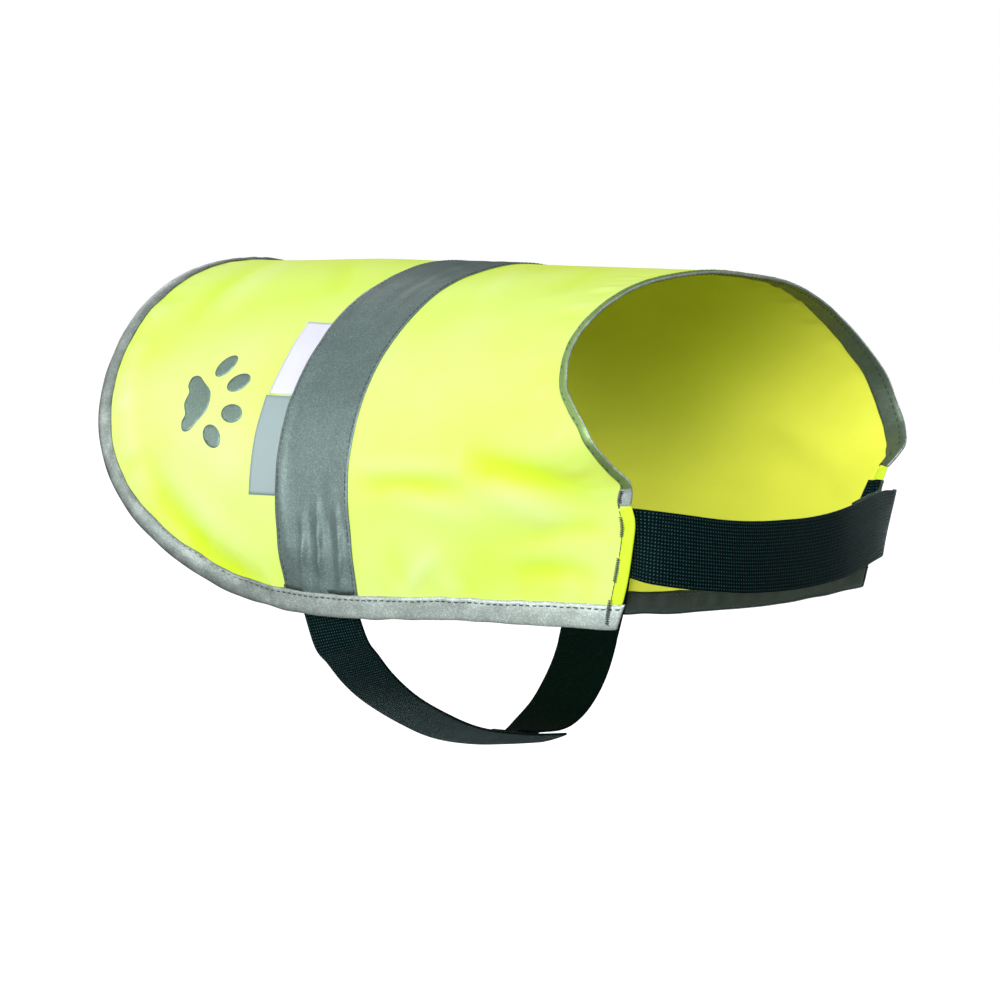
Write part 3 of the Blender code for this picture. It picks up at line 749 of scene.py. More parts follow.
def elastic_group():
    """Ribbed elastic over coordinates along and across the webbing: rib Height, and light dots on the crests
    of ribs and knit as painted highlights.
    """
    if "Elastic ribs" in bpy.data.node_groups:
        return bpy.data.node_groups["Elastic ribs"]
    tree, given, out = new_group("Elastic ribs", {"Rib pitch": 0.0018, "Dot pitch": 0.0017},
                                 ("Height", "Dots"))
    split = node(tree, "ShaderNodeSeparateXYZ", {0: given.outputs["Vector"]})
    ribs = maths(tree, "DIVIDE", split.outputs[1], given.outputs["Rib pitch"])
    row = maths(tree, "FLOOR", ribs)
    round_rib = maths(tree, "SINE", maths(tree, "MULTIPLY", maths(tree, "FRACT", ribs), math.pi))
    along = maths(tree, "DIVIDE", split.outputs[0], given.outputs["Dot pitch"])
    sheared = maths(tree, "MULTIPLY_ADD", row, 0.14, along)
    knit = maths(tree, "SINE", maths(tree, "MULTIPLY", maths(tree, "FRACT", sheared), math.pi))
    tree.links.new(maths(tree, "MULTIPLY_ADD", knit, 0.35, maths(tree, "POWER", round_rib, 0.6)),
                   out.inputs["Height"])
    near_rib = maths(tree, "POWER", round_rib, 7.0)
    near_knit = maths(tree, "POWER", knit, 9.0)
    tree.links.new(maths(tree, "MULTIPLY", near_rib, near_knit), out.inputs["Dots"])
    return tree


def tone_group():
    """Uneven tone of dyed cloth: a Shade near one that drifts over the surface."""
    if "Uneven tone" in bpy.data.node_groups:
        return bpy.data.node_groups["Uneven tone"]
    tree, given, out = new_group("Uneven tone", {"Amount": 0.1, "Scale": 25.0}, ("Shade",))
    noise = node(tree, "ShaderNodeTexNoise",
                 {"Vector": given.outputs["Vector"], "Scale": given.outputs["Scale"], "Detail": 4.0})
    centred = maths(tree, "SUBTRACT", noise.outputs[0], 0.5)
    tree.links.new(maths(tree, "MULTIPLY_ADD", centred, given.outputs["Amount"], 1.0), out.inputs["Shade"])
    return tree


def use_group(tree, group, inputs):
    """A group node with its inputs set."""
    return node(tree, "ShaderNodeGroup", inputs, node_tree=group)


def uneven_tone(tree, place, amount, scale):
    """A shade near one that drifts over the surface."""
    return use_group(tree, tone_group(), {"Vector": place, "Amount": amount, "Scale": scale}).outputs[0]


def shaded(tree, colour, shade):
    """A colour, or a colour's socket, multiplied by a shade."""
    given = colour if isinstance(colour, bpy.types.NodeSocket) else tuple(colour)[:3]
    mix = node(tree, "ShaderNodeVectorMath", {0: given, "Scale": shade}, operation="SCALE")
    return mix.outputs[0]


def mixed(tree, share, first, second):
    """A blend of two colours."""
    mix = node(tree, "ShaderNodeMix", data_type="RGBA")
    for socket, value in ((mix.inputs[0], share), (mix.inputs[6], first), (mix.inputs[7], second)):
        if isinstance(value, bpy.types.NodeSocket):
            tree.links.new(value, socket)
        else:
            socket.default_value = value
    return mix.outputs[2]


def new_material(name, roughness, **fixed):
    """A material with its Principled shader; fixed are values of the shader's own sockets."""
    material = bpy.data.materials.new(name)
    material.use_nodes = True
    shader = material.node_tree.nodes["Principled BSDF"]
    shader.inputs["Roughness"].default_value = roughness
    for label, value in fixed.items():
        shader.inputs[label.replace("_", " ")].default_value = value
    return material, material.node_tree, shader


def surface_vector(tree, own_uv=True):
    """Flat coordinates of the piece, or its object coordinates, in metres."""
    if own_uv:
        return node(tree, "ShaderNodeUVMap", uv_map="flat").outputs[0]
    return node(tree, "ShaderNodeTexCoord").outputs["Object"]


def bump(tree, shader, height, distance, strength):
    """Relief under the shader."""
    made = node(tree, "ShaderNodeBump", {"Height": height, "Distance": distance, "Strength": strength})
    tree.links.new(made.outputs[0], shader.inputs["Normal"])
    return made


def face_dye_and_painted_folds(tree, flat, own):
    """Colour of the cloth's face: paler on its ridges with painted sheen, deeper in its folds with painted
    shade, and drifting at random with its dye.
    """
    drift = uneven_tone(tree, flat, 1.1, 16.0)
    # Painted light by fold height: ridges take the pale colour, and troughs take the deeper shaded one.
    fold = node(tree, "ShaderNodeAttribute", attribute_name="fold").outputs["Fac"]
    lit = maths(tree, "MULTIPLY_ADD", fold, 0.22, maths(tree, "MULTIPLY", drift, 0.55))
    share = node(tree, "ShaderNodeClamp", {0: lit}).outputs[0]
    return mixed(tree, share, tuple(own.fold_shade_colour), tuple(own.colour))


def cloth_material(reverse=False):
    """Fluorescent woven cloth that lets some light through, its face or its reverse. Both give off a painted
    glow, the face far more, and the face's colour holds painted sheen on its ridges and painted shade in its
    folds.
    """
    name = "Fluorescent cloth reverse" if reverse else "Fluorescent cloth"
    if name in bpy.data.materials:
        return bpy.data.materials[name]
    own = bpy.context.scene.vest_cloth
    # Painted glow: the face shines in its glow colour, and the reverse faintly in its own colour, whatever
    # the lamps.
    material, tree, shader = new_material(name, 0.62, Specular_IOR_Level=0.2,
                                          Emission_Strength=0.02 if reverse else own.painted_glow)
    shader.inputs["Emission Color"].default_value = own.reverse_colour_and_leg_shade if reverse else own.painted_glow_colour
    flat = surface_vector(tree)
    dye = tuple(own.reverse_colour_and_leg_shade) if reverse else face_dye_and_painted_folds(tree, flat, own)
    weave = use_group(tree, weave_group(), {"Vector": flat, "Pitch": 0.00055})
    # Painted shade between the yarns.
    gaps = maths(tree, "MULTIPLY_ADD", weave.outputs["Gap"], 0.06, 0.95)
    colour = shaded(tree, dye, maths(tree, "MULTIPLY", uneven_tone(tree, flat, 0.10, 18.0), gaps))
    tree.links.new(colour, shader.inputs["Base Color"])
    relief = bump(tree, shader, weave.outputs["Height"], 0.00008, 0.6)
    through = node(tree, "ShaderNodeBsdfTranslucent", {"Color": colour, "Normal": relief.outputs[0]})
    mix = node(tree, "ShaderNodeMixShader", {0: 0.20, 1: shader.outputs[0], 2: through.outputs[0]})
    tree.links.new(mix.outputs[0], tree.nodes["Material Output"].inputs["Surface"])
    return material


def binding_painted_shade(tree, flat):
    """Shade of the binding: random blotches, with painted shade that darkens it towards the rear where its
    attribute rises, and more towards its edges.
    """
    rubbed = node(tree, "ShaderNodeAttribute", attribute_name="rubbed").outputs["Fac"]
    across = maths(tree, "ABSOLUTE", node(tree, "ShaderNodeSeparateXYZ", {0: flat}).outputs[1])
    off_middle = maths(tree, "MULTIPLY_ADD", across, 2.0 / (FINISH_SPAN * MM), -1.0)
    loss = maths(tree, "MULTIPLY_ADD", maths(tree, "MULTIPLY", off_middle, off_middle), 0.35, 0.36)
    # Random light and dark blotches, which also stand in for the highlights and crease shade of the glossy
    # tape.
    blotches = uneven_tone(tree, flat, 0.8, 80.0)
    return maths(tree, "SUBTRACT", blotches, maths(tree, "MULTIPLY", rubbed, loss))


def tape_material(name, colour, grain, contrast, rear_shade=False):
    """Grey reflective finish with painted glints of its beads, and, if asked, painted shade that darkens it
    towards the rear and its edges.
    """
    if name in bpy.data.materials:
        return bpy.data.materials[name]
    material, tree, shader = new_material(name, 0.42, Metallic=0.4, Specular_IOR_Level=0.35)
    flat = surface_vector(tree)
    beads = use_group(tree, bead_group(), {"Vector": flat, "Grain": grain})
    # Painted glints: the beads' sparkle brightens the colour in fine specks.
    sparkle = maths(tree, "MULTIPLY_ADD", maths(tree, "POWER", beads.outputs["Sparkle"], 3.0), contrast, 0.85)
    shade = maths(tree, "MULTIPLY", uneven_tone(tree, flat, 0.35, 60.0), sparkle)
    # Painted shade towards the rear and the edges, for the hem binding.
    if rear_shade:
        shade = maths(tree, "MULTIPLY", shade, binding_painted_shade(tree, flat))
    tree.links.new(shaded(tree, colour, shade), shader.inputs["Base Color"])
    rough = maths(tree, "MULTIPLY_ADD", beads.outputs["Cloud"], 0.25, 0.32)
    tree.links.new(rough, shader.inputs["Roughness"])
    bump(tree, shader, beads.outputs["Height"], 0.00006, 0.5)
    return material


def thread_material():
    """Dark sewing thread."""
    if "Sewing thread" in bpy.data.materials:
        return bpy.data.materials["Sewing thread"]
    material, tree, shader = new_material("Sewing thread", 0.6)
    tone = uneven_tone(tree, surface_vector(tree, own_uv=False), 0.9, 900.0)
    colour = bpy.context.scene.vest_trims.thread_colour
    tree.links.new(shaded(tree, colour, tone), shader.inputs["Base Color"])
    return material


def elastic_material():
    """Black ribbed elastic with rows of light dots on its crests, which are painted highlights."""
    if "Ribbed elastic" in bpy.data.materials:
        return bpy.data.materials["Ribbed elastic"]
    own = bpy.context.scene.vest_webbing
    material, tree, shader = new_material("Ribbed elastic", 0.6, Specular_IOR_Level=0.01, Sheen_Weight=0.14,
                                          Sheen_Roughness=0.3, Sheen_Tint=(0.7, 1.0, 0.97, 1.0))
    flat = surface_vector(tree)
    ribs = use_group(tree, elastic_group(), {"Vector": flat, "Rib pitch": own.rib_pitch})
    dark = shaded(tree, own.colour, uneven_tone(tree, flat, 0.5, 90.0))
    strength = maths(tree, "MULTIPLY", uneven_tone(tree, flat, 2.4, 420.0), 0.7)
    # Painted highlights on the crests, brighter or fainter at random.
    crest_highlights = maths(tree, "MULTIPLY", ribs.outputs["Dots"], strength)
    tree.links.new(mixed(tree, crest_highlights, dark, tuple(own.crest_highlight_colour)), shader.inputs["Base Color"])
    bump(tree, shader, ribs.outputs["Height"], 0.00025, 0.8)
    return material


def loop_material():
    """Brushed loop face of the inner belly strap."""
    if "Loop webbing" in bpy.data.materials:
        return bpy.data.materials["Loop webbing"]
    own = bpy.context.scene.vest_webbing
    material, tree, shader = new_material("Loop webbing", 0.9, Specular_IOR_Level=0.02)
    flat = surface_vector(tree)
    fuzz = node(tree, "ShaderNodeTexNoise", {"Vector": flat, "Scale": 900.0, "Detail": 3.0})
    tone = uneven_tone(tree, flat, 0.8, 260.0)
    spread = maths(tree, "MULTIPLY", tone, maths(tree, "MULTIPLY_ADD", fuzz.outputs[0], 1.6, 0.2))
    specks = maths(tree, "MULTIPLY", maths(tree, "POWER", fuzz.outputs[0], 9.0), 18.0)
    shade = maths(tree, "ADD", spread, specks)
    tree.links.new(shaded(tree, own.loop_colour, shade), shader.inputs["Base Color"])
    bump(tree, shader, fuzz.outputs[0], 0.0006, 0.9)
    return material


def hook_material():
    """Hook tape between the laps: rows of small hooks, lighter on each hook and darker between them as
    painted shade.
    """
    if "Hook tape" in bpy.data.materials:
        return bpy.data.materials["Hook tape"]
    own = bpy.context.scene.vest_webbing
    material, tree, shader = new_material("Hook tape", 0.7, Specular_IOR_Level=0.05)
    place = surface_vector(tree, own_uv=False)
    hooks = node(tree, "ShaderNodeTexVoronoi", {"Vector": place, "Scale": 900.0, "Randomness": 0.3})
    # Painted shade: darker in the gaps between the hooks.
    shade = maths(tree, "SUBTRACT", 1.6, hooks.outputs["Distance"])
    tree.links.new(shaded(tree, own.hook_colour, shade), shader.inputs["Base Color"])
    bump(tree, shader, maths(tree, "SUBTRACT", 1.0, hooks.outputs["Distance"]), 0.0005, 0.9)
    return material


def label_material(name, colour):
    """Smooth woven label, left bare."""
    if name in bpy.data.materials:
        return bpy.data.materials[name]
    material, tree, shader = new_material(name, 0.45, Sheen_Weight=0.1)
    flat = surface_vector(tree)
    weave = use_group(tree, weave_group(), {"Vector": flat, "Pitch": 0.0005})
    # Painted shade between the yarns.
    gaps = maths(tree, "MULTIPLY_ADD", weave.outputs["Gap"], 0.08, 0.94)
    shade = maths(tree, "MULTIPLY", uneven_tone(tree, flat, 0.08, 70.0), gaps)
    tree.links.new(shaded(tree, colour, shade), shader.inputs["Base Color"])
    bump(tree, shader, weave.outputs["Height"], 0.00006, 0.6)
    return material


# Stitches.

def stitch_thread(tree, given):
    """One arched stitch of round thread along X."""
    half = maths(tree, "MULTIPLY", given.outputs["Length"], 0.5)
    left = maths(tree, "MULTIPLY", half, -1.0)
    start = node(tree, "ShaderNodeCombineXYZ", {0: left})
    start_up = node(tree, "ShaderNodeCombineXYZ", {0: left, 2: given.outputs["Arch"]})
    end_up = node(tree, "ShaderNodeCombineXYZ", {0: half, 2: given.outputs["Arch"]})
    end = node(tree, "ShaderNodeCombineXYZ", {0: half})
    arch = node(tree, "GeometryNodeCurvePrimitiveBezierSegment", {
        "Resolution": 5, "Start": start.outputs[0], "Start Handle": start_up.outputs[0],
        "End Handle": end_up.outputs[0], "End": end.outputs[0]})
    ring = node(tree, "GeometryNodeCurvePrimitiveCircle",
                {"Resolution": 6, "Radius": given.outputs["Thread radius"]})
    return node(tree, "GeometryNodeCurveToMesh",
                {"Curve": arch.outputs[0], "Profile Curve": ring.outputs[0], "Fill Caps": True}).outputs[0]


def stitch_turn(tree, given):
    """Turn of each stitch: along its line and upright, then by its zigzag and a little by chance."""
    out_vector = node(tree, "GeometryNodeInputNamedAttribute", {"Name": "out"}, data_type="FLOAT_VECTOR")
    tangent = tree.nodes.new("GeometryNodeInputTangent")
    axes = node(tree, "FunctionNodeAxesToRotation", {
        "Primary Axis": out_vector.outputs["Attribute"], "Secondary Axis": tangent.outputs[0]},
        primary_axis="Z", secondary_axis="X")
    order = tree.nodes.new("GeometryNodeInputIndex")
    side = maths(tree, "MULTIPLY_ADD", maths(tree, "FLOORED_MODULO", order.outputs[0], 2.0), 2.0, -1.0)
    zigzag = maths(tree, "MULTIPLY_ADD", side, given.outputs["Zigzag"], given.outputs["Turn"])
    low = maths(tree, "MULTIPLY", given.outputs["Unevenness"], -1.0)
    chance = node(tree, "FunctionNodeRandomValue", {2: low, 3: given.outputs["Unevenness"],
                                                    "Seed": given.outputs["Seed"]}, data_type="FLOAT")
    angle = node(tree, "ShaderNodeCombineXYZ", {2: maths(tree, "ADD", zigzag, chance.outputs[1])})
    turn = node(tree, "FunctionNodeEulerToRotation", {0: angle.outputs[0]})
    return node(tree, "FunctionNodeRotateRotation",
                {0: axes.outputs[0], 1: turn.outputs[0]}, rotation_space="LOCAL").outputs[0]


def stitch_tree():
    """Geometry nodes that lay arched stitches along a line of edges; each point's out attribute is up."""
    if "Stitch row" in bpy.data.node_groups:
        return bpy.data.node_groups["Stitch row"]
    tree = bpy.data.node_groups.new("Stitch row", "GeometryNodeTree")
    face = tree.interface
    face.new_socket("Geometry", in_out="INPUT", socket_type="NodeSocketGeometry")
    for label, default in (("Pitch", 0.004), ("Length", 0.0028), ("Thread radius", 0.0003),
                           ("Arch", 0.0004), ("Turn", 0.0), ("Zigzag", 0.0), ("Unevenness", 0.08)):
        face.new_socket(label, in_out="INPUT", socket_type="NodeSocketFloat").default_value = default
    face.new_socket("Seed", in_out="INPUT", socket_type="NodeSocketInt").default_value = 1
    face.new_socket("Material", in_out="INPUT", socket_type="NodeSocketMaterial")
    face.new_socket("Geometry", in_out="OUTPUT", socket_type="NodeSocketGeometry")
    given = tree.nodes.new("NodeGroupInput")
    out = tree.nodes.new("NodeGroupOutput")
    line = node(tree, "GeometryNodeMeshToCurve", {0: given.outputs["Geometry"]})
    even = node(tree, "GeometryNodeResampleCurve",
                {"Curve": line.outputs[0], "Length": given.outputs["Pitch"]}, mode="LENGTH")
    sewn = node(tree, "GeometryNodeInstanceOnPoints", {
        "Points": even.outputs[0], "Instance": stitch_thread(tree, given),
        "Rotation": stitch_turn(tree, given)})
    real = node(tree, "GeometryNodeRealizeInstances", {0: sewn.outputs[0]})
    soft = node(tree, "GeometryNodeSetShadeSmooth", {0: real.outputs[0]})
    dyed = node(tree, "GeometryNodeSetMaterial",
                {"Geometry": soft.outputs[0], "Material": given.outputs["Material"]})
    tree.links.new(dyed.outputs[0], out.inputs[0])
    return tree


def sewn_lines(name, lines, **sizes):
    """Stitches along lines of points and outward normals in millimetres, as one plain mesh."""
    points, edges, normals = [], [], []
    for path, up in lines:
        first = len(points)
        points += (np.asarray(path) * MM).tolist()
        normals += np.asarray(up).tolist()
        edges += [(first + i, first + i + 1) for i in range(len(path) - 1)]
    mesh = bpy.data.meshes.new(name)
    mesh.from_pydata(points, edges, [])
    layer = mesh.attributes.new("out", "FLOAT_VECTOR", "POINT")
    layer.data.foreach_set("vector", np.array(normals).ravel())
    piece = bpy.data.objects.new(name, mesh)
    bpy.context.scene.collection.objects.link(piece)
    tree = stitch_tree()
    sewing = piece.modifiers.new("stitches", "NODES")
    sewing.node_group = tree
    values = {"Material": thread_material(), **{label.replace("_", " "): v for label, v in sizes.items()}}
    for socket in tree.interface.items_tree:
        if socket.in_out == "INPUT" and socket.name in values:
            sewing[socket.identifier] = values[socket.name]
    graph = bpy.context.evaluated_depsgraph_get()
    sewn = bpy.data.meshes.new_from_object(piece.evaluated_get(graph), depsgraph=graph)
    piece.modifiers.clear()
    piece.data = sewn
    bpy.data.meshes.remove(mesh)
    if not sewn.polygons:
        raise RuntimeError(f"{name}: no stitches were made")
    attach(piece, "root")


def laid_line(path, lift):
    """A line of points and normals on the folded cloth, from flat points."""
    x, v = path[:, 0], path[:, 1]
    return cloth_points(x, v, lift), outward(x, v)


# Pieces.

class VestPanel(bpy.types.Operator):
    """Builds the yellow back panel with its soft folds"""

    bl_idname = "vest.panel"
    bl_label = "Back panel"

    def execute(self, context):
        own = context.scene.vest_cloth
        step = own.mesh_step / MM
        flat, faces = filled_outline(panel_outline(step), step)
        points = cloth_points(flat[:, 0], flat[:, 1], CLOTH_LIFT)
        panel = new_piece("panel_cloth", points, faces, cloth_material(), flat)
        panel.data.materials.append(cloth_material(reverse=True))
        paint(panel, "fold", fold_height(flat[:, 0], flat[:, 1]))
        thicken(panel, own.thickness).material_offset = 1
        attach(panel, "root")
        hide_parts("back_panel")
        return {"FINISHED"}


def with_close_ends(path):
    """The path with more points near its ends."""
    run = run_length(path)
    near = np.array((0.0, 0.3, 0.7, 1.2, END_ROUNDING))
    at = np.concatenate((near, run[(run > 2.6) & (run < run[-1] - 2.6)], run[-1] - near[::-1]))
    return np.stack([np.interp(at, run, path[:, i]) for i in (0, 1)], axis=1)


def channel_profile(lifts):
    """Section of a folded strip: share of its width, height, and a way, negative on the inner leg."""
    outer, inner = lifts
    middle, deep = (outer + inner) / 2, (outer - inner) / 2
    across = np.linspace(1.0, LEG_START, LEG_POINTS)
    profile = [(share, outer, 1.0) for share in across]
    for degrees in np.linspace(75.0, -75.0, FOLD_POINTS):
        angle = math.radians(degrees)
        profile.append((FOLD_SHARE, middle + deep * math.sin(angle), math.cos(angle)))
    return profile + [(share, inner, -1.0) for share in across[::-1]]


def leg_relief(share, crown):
    """How far a leg stands off at a share of its width: crowned, pinched at its seam and low at its edge."""
    if share < 0.0:
        return 0.0
    near_seam = math.exp(-((share - 0.82) / 0.07) ** 2)
    lowered = 0.25 if share > 0.98 else 0.0
    return math.sin(math.pi * min(share, 1.0)) * crown - 0.22 * near_seam + 0.12 - lowered


def channel_points(path, inward, widths, lifts, lean):
    """Points of a folded strip and their flat places, by point of the path and of the profile."""
    run, ends = run_length(path), from_ends(path)
    tangent = unit_rows(np.gradient(path, axis=0))
    run_on = lean[1] * np.exp(-((run[-1] - run) / 9.0) ** 2) - lean[0] * np.exp(-(run / 9.0) ** 2)
    open_by = np.sqrt(1.0 - (1.0 - np.clip(ends / END_ROUNDING, 0.0, 1.0)) ** 2)
    ripple = wander(run, 31, 9.0) + 2.4 * wander(run, 32, 7.0) * np.exp(-(ends / 36.0) ** 2)
    crown = 0.2 * ripple + REAR_BULGE * np.interp(path[:, 0], BULGE_X, (1.0, 0.1))
    fold_reach = 0.3 * wander(run, 33, 26.0) - 0.9
    middle = (lifts[0] + lifts[1]) / 2
    rows, places = [], []
    for share, lift, way in channel_profile(lifts):
        distance = fold_reach * abs(way) * open_by if share < 0.0 else share * widths(path, way > 0)
        rail = inset(path, distance, inward) + (run_on * distance)[:, None] * tangent
        height = lift + (1.0 if lift > middle else -1.0) * leg_relief(share, crown)
        rows.append(cloth_points(rail[:, 0], rail[:, 1], middle + (height - middle) * open_by))
        place = FINISH_SPAN * share * (1 if way > 0 else -1)
        places.append(np.stack((run, np.full(len(path), place)), axis=-1))
    return np.stack(rows, axis=1), np.stack(places, axis=1)


def finish_channel(piece, path, columns, finishes):
    """Gives a folded strip the finish of its inner leg, which on the bindings is a painted shade, and that of
    its outer leg's ends and fold line.
    """
    inner_leg, fold_line = LEG_POINTS + FOLD_POINTS - 2, LEG_POINTS + 1
    for finish in finishes:
        piece.data.materials.append(finish)
    ends = from_ends(path)
    for index, polygon in enumerate(piece.data.polygons):
        row, column = divmod(index, columns)
        if column >= inner_leg:
            polygon.material_index = 1
        elif ends[row] < END_RUN or column >= fold_line:
            polygon.material_index = 2


def channel(name, path, inward, widths, lifts, thickness, material, finishes=(), lean=(0.0, 0.0)):
    """A folded strip over an edge: outer leg, rounded fold and inner leg, closed at its ends.

    finishes are the materials of the inner leg and of the outer leg's ends and fold line, and lean is how far
    each end runs on, for each millimetre in from the edge.
    """
    path = with_close_ends(path)
    points, places = channel_points(path, inward, widths, lifts, lean)
    columns = points.shape[1]
    points = points.reshape(-1, 3)
    faces = grid_faces(len(path), columns)
    outer_faces = [face for face in faces if face[0] % columns < LEG_POINTS - 2]
    normals = np.repeat(outward(path[:, 0], path[:, 1]), columns, axis=0)
    if facing(points, outer_faces, normals)[0][0] != outer_faces[0][0]:
        faces = [face[::-1] for face in faces]
    piece = new_piece(name, points, faces, material, places.reshape(-1, 2))
    if finishes:
        finish_channel(piece, path, columns - 1, finishes)
    thicken(piece, thickness)
    return piece


class VestBindings(bpy.types.Operator):
    """Builds the folded reflective bindings of the hem and the neck"""

    bl_idname = "vest.bindings"
    bl_label = "Bindings"

    def execute(self, context):
        own = context.scene.vest_trims
        # Painted shade: each binding's reverse, its inner leg, is darker, and the hem binding is darkened
        # towards its rear and its edges.
        hem_finish = (tape_material("Reflective binding", own.binding_colour, 0.0006, 0.6, rear_shade=True),
                      tape_material("Binding reverse", own.reverse_colour_and_leg_shade, 0.0006, 0.3))
        neck_finish = (tape_material("Neck binding", own.neck_colour, 0.0006, 0.3),
                       tape_material("Neck binding reverse", own.neck_reverse_shade, 0.0006, 0.3))
        for name, path, inward, widths, lean, cut, node_name, (finish, reverse) in (
                ("hem_trim", hem_path(2.5), -1.0, hem_widths, (0.30, 0.12), 0.026, "hem_binding", hem_finish),
                ("neck_trim", neck_path(2.0), 1.0, neck_widths, (0.0, 0.0), 0.0175, "neck_binding",
                 neck_finish)):
            trim = channel(name, path, inward, widths, (TRIM_LIFT, TRIM_INNER_LIFT), 0.0005, finish,
                           (reverse, hem_finish[0]), lean)
            # Painted shade: this attribute darkens the hem binding towards the rear.
            place = [vertex.co.x / MM for vertex in trim.data.vertices]
            paint(trim, "rubbed", np.interp(place, REAR_SHADE_X, REAR_SHADE))
            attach(trim, "root")
            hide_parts(node_name)
        return {"FINISHED"}


class VestTurnedEdges(bpy.types.Operator):
    """Builds the turned yellow front edges"""

    bl_idname = "vest.turned_edges"
    bl_label = "Turned front edges"

    def execute(self, context):
        own = context.scene.vest_cloth
        width = own.turned_edge / MM

        def widths(path, outside):
            return width + 0.25 * wander(run_length(path), 51, 25.0)

        for side, name in ((-1, "turned_edge_right"), (1, "turned_edge_left")):
            corner = NECK_LINE[0] if side < 0 else NECK_LINE[-1]
            path = front_path(side, corner, 2.5)
            path = path[run_length(path) > 12.0]
            edge = channel(name, path, 1.0 if side < 0 else -1.0, widths, TURNED_LIFTS, 0.0004,
                           cloth_material())
            # The turned edges take the deeper fold colour all over, which is the colour of the painted fold
            # shade.
            paint(edge, "fold", np.full(len(edge.data.vertices), -2.5))
            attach(edge, "root")
        return {"FINISHED"}


def band_middle_x(way):
    """The band leans back down the sides, by the way from the dorsal line to its end."""
    return -BAND_LEAN * way * way


def binding_top(x, side, reach):
    """Girth at a distance in from the hem."""
    rail = inset(HEM_LINE, reach, -1.0)
    rail = rail[rail[:, 1] * side > 0]
    rail = rail[np.argsort(rail[:, 0])]
    return side * np.interp(x, rail[:, 0], np.abs(rail[:, 1]))


def band_rows(ways, shares):
    """Flat points of the girth band, by way from end to end and share across it."""
    width = bpy.context.scene.vest_trims.band_width / MM
    x = band_middle_x(ways)[:, None] + shares[None, :] * width
    right, left = binding_top(x, -1, BAND_REACH), binding_top(x, 1, BAND_REACH)
    return x, right + (left - right) * (ways[:, None] + 1.0) / 2.0


class VestGirthBand(bpy.types.Operator):
    """Builds the reflective band round the panel"""

    bl_idname = "vest.girth_band"
    bl_label = "Girth band"

    def execute(self, context):
        own = context.scene.vest_trims
        ways = np.concatenate(((-1.0, -0.997), np.linspace(-0.993, 0.993, 218), (0.997, 1.0)))
        shares = np.linspace(-0.5, 0.5, 46)
        x, v = band_rows(ways, shares)
        edge = 1.0 - np.exp(-((0.5 - np.abs(shares)) / 0.025) ** 2)
        under_hem = np.exp(-((1.0 - np.abs(ways[:, None])) / 0.009) ** 2)
        lift = (BAND_LIFT - 0.55 * under_hem + 0.12 * edge[None, :]
                + 0.08 * wander(x, 61, 13.0) + 0.08 * wander(v, 62, 17.0))
        finish = tape_material("Reflective tape", own.tape_colour, 0.0005, 0.6)
        band = laid_grid("girth_tape", x, v, lift, finish, 0.00035)
        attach(band, "root")
        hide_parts("girth_band")
        return {"FINISHED"}


class VestLabels(bpy.types.Operator):
    """Builds the two bare side labels"""

    bl_idname = "vest.labels"
    bl_label = "Labels"

    def execute(self, context):
        own = context.scene.vest_trims
        half = own.band_width / MM / 2
        for name, slot, title, top, bottom, width in LABELS:
            share = np.linspace(top, bottom, 26)[:, None]
            way = share * girth(-half, -1) / -binding_top(-half, -1, LABEL_REACH)
            front = band_middle_x(way) - half + LABEL_UNDER_BAND
            out = np.linspace(0.0, 1.0, 12)[None, :]
            x = front - out * (width + LABEL_EXTRA)
            v = -share * girth(x, -1)
            ends = np.abs(2.0 * (share - top) / (bottom - top) - 1.0)
            lift = (LABEL_LIFT + 0.9 * out ** 3 * (0.35 + 0.65 * ends ** 4)
                    + 0.1 * wander(share * 280.0, 71, 30.0))
            finish = label_material(title, getattr(own, name))
            tag = laid_grid(name.replace("label", "side_label"), x, v, lift, finish, 0.0003)
            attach(tag, "root")
            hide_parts(name)
        return {"FINISHED"}


def pad_outline(size):
    """A plain paw pad, rounded in front and with three low lobes behind, about its middle."""
    other_half = tuple((x, -y) for x, y in PAD_HALF[:0:-1])
    return size * rounded_path(PAD_HALF + (PAD_BACK,) + other_half + (PAD_HALF[0],), 0.035)[:-1]


def toe_outline(middle, turn, size):
    """A plain oval toe."""
    angle = np.linspace(0.0, 2 * math.pi, 40, endpoint=False)
    oval = np.stack((TOE_HALVES[0] * size * np.cos(angle), TOE_HALVES[1] * size * np.sin(angle)), axis=1)
    cos, sin = math.cos(turn), math.sin(turn)
    return oval @ np.array(((cos, sin), (-sin, cos))) + np.array(middle)


class VestMotif(bpy.types.Operator):
    """Builds the printed reflective paw motif, a plain design"""

    bl_idname = "vest.motif"
    bl_label = "Paw motif"

    def execute(self, context):
        own = context.scene.vest_cloth
        size = own.motif_size / MM
        centre = np.array((MOTIF_X, -MOTIF_SHARE * float(girth(MOTIF_X, -1))))
        outlines = [pad_outline(size)]
        for bearing, reach in TOES:
            a = math.radians(bearing)
            middle = (size * reach * math.cos(a), size * reach * math.sin(a))
            outlines.append(toe_outline(middle, a * 0.8, size))
        turn = math.radians(MOTIF_TURN)
        spin = np.array(((math.cos(turn), math.sin(turn)), (-math.sin(turn), math.cos(turn))))
        flat, faces = [], []
        for outline in outlines:
            points, shape = filled_outline(outline @ spin + centre, 2.0)
            faces += [tuple(len(flat) + i for i in f) for f in shape]
            flat += points.tolist()
        flat = np.array(flat)
        finish = tape_material("Reflective print", own.motif_colour, 0.0006, 0.35)
        points = cloth_points(flat[:, 0], flat[:, 1], MOTIF_LIFT)
        motif = new_piece("paw_motif", points, faces, finish, flat)
        thicken(motif, 0.00008)
        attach(motif, "root")
        return {"FINISHED"}


def smooth_rows(rows, step):
    """Rows of point and across direction at an even step."""
    path = rounded_path([np.concatenate((point, 10.0 * np.array(across))) for point, across in rows], step)
    return path[:, :3], path[:, 3:]


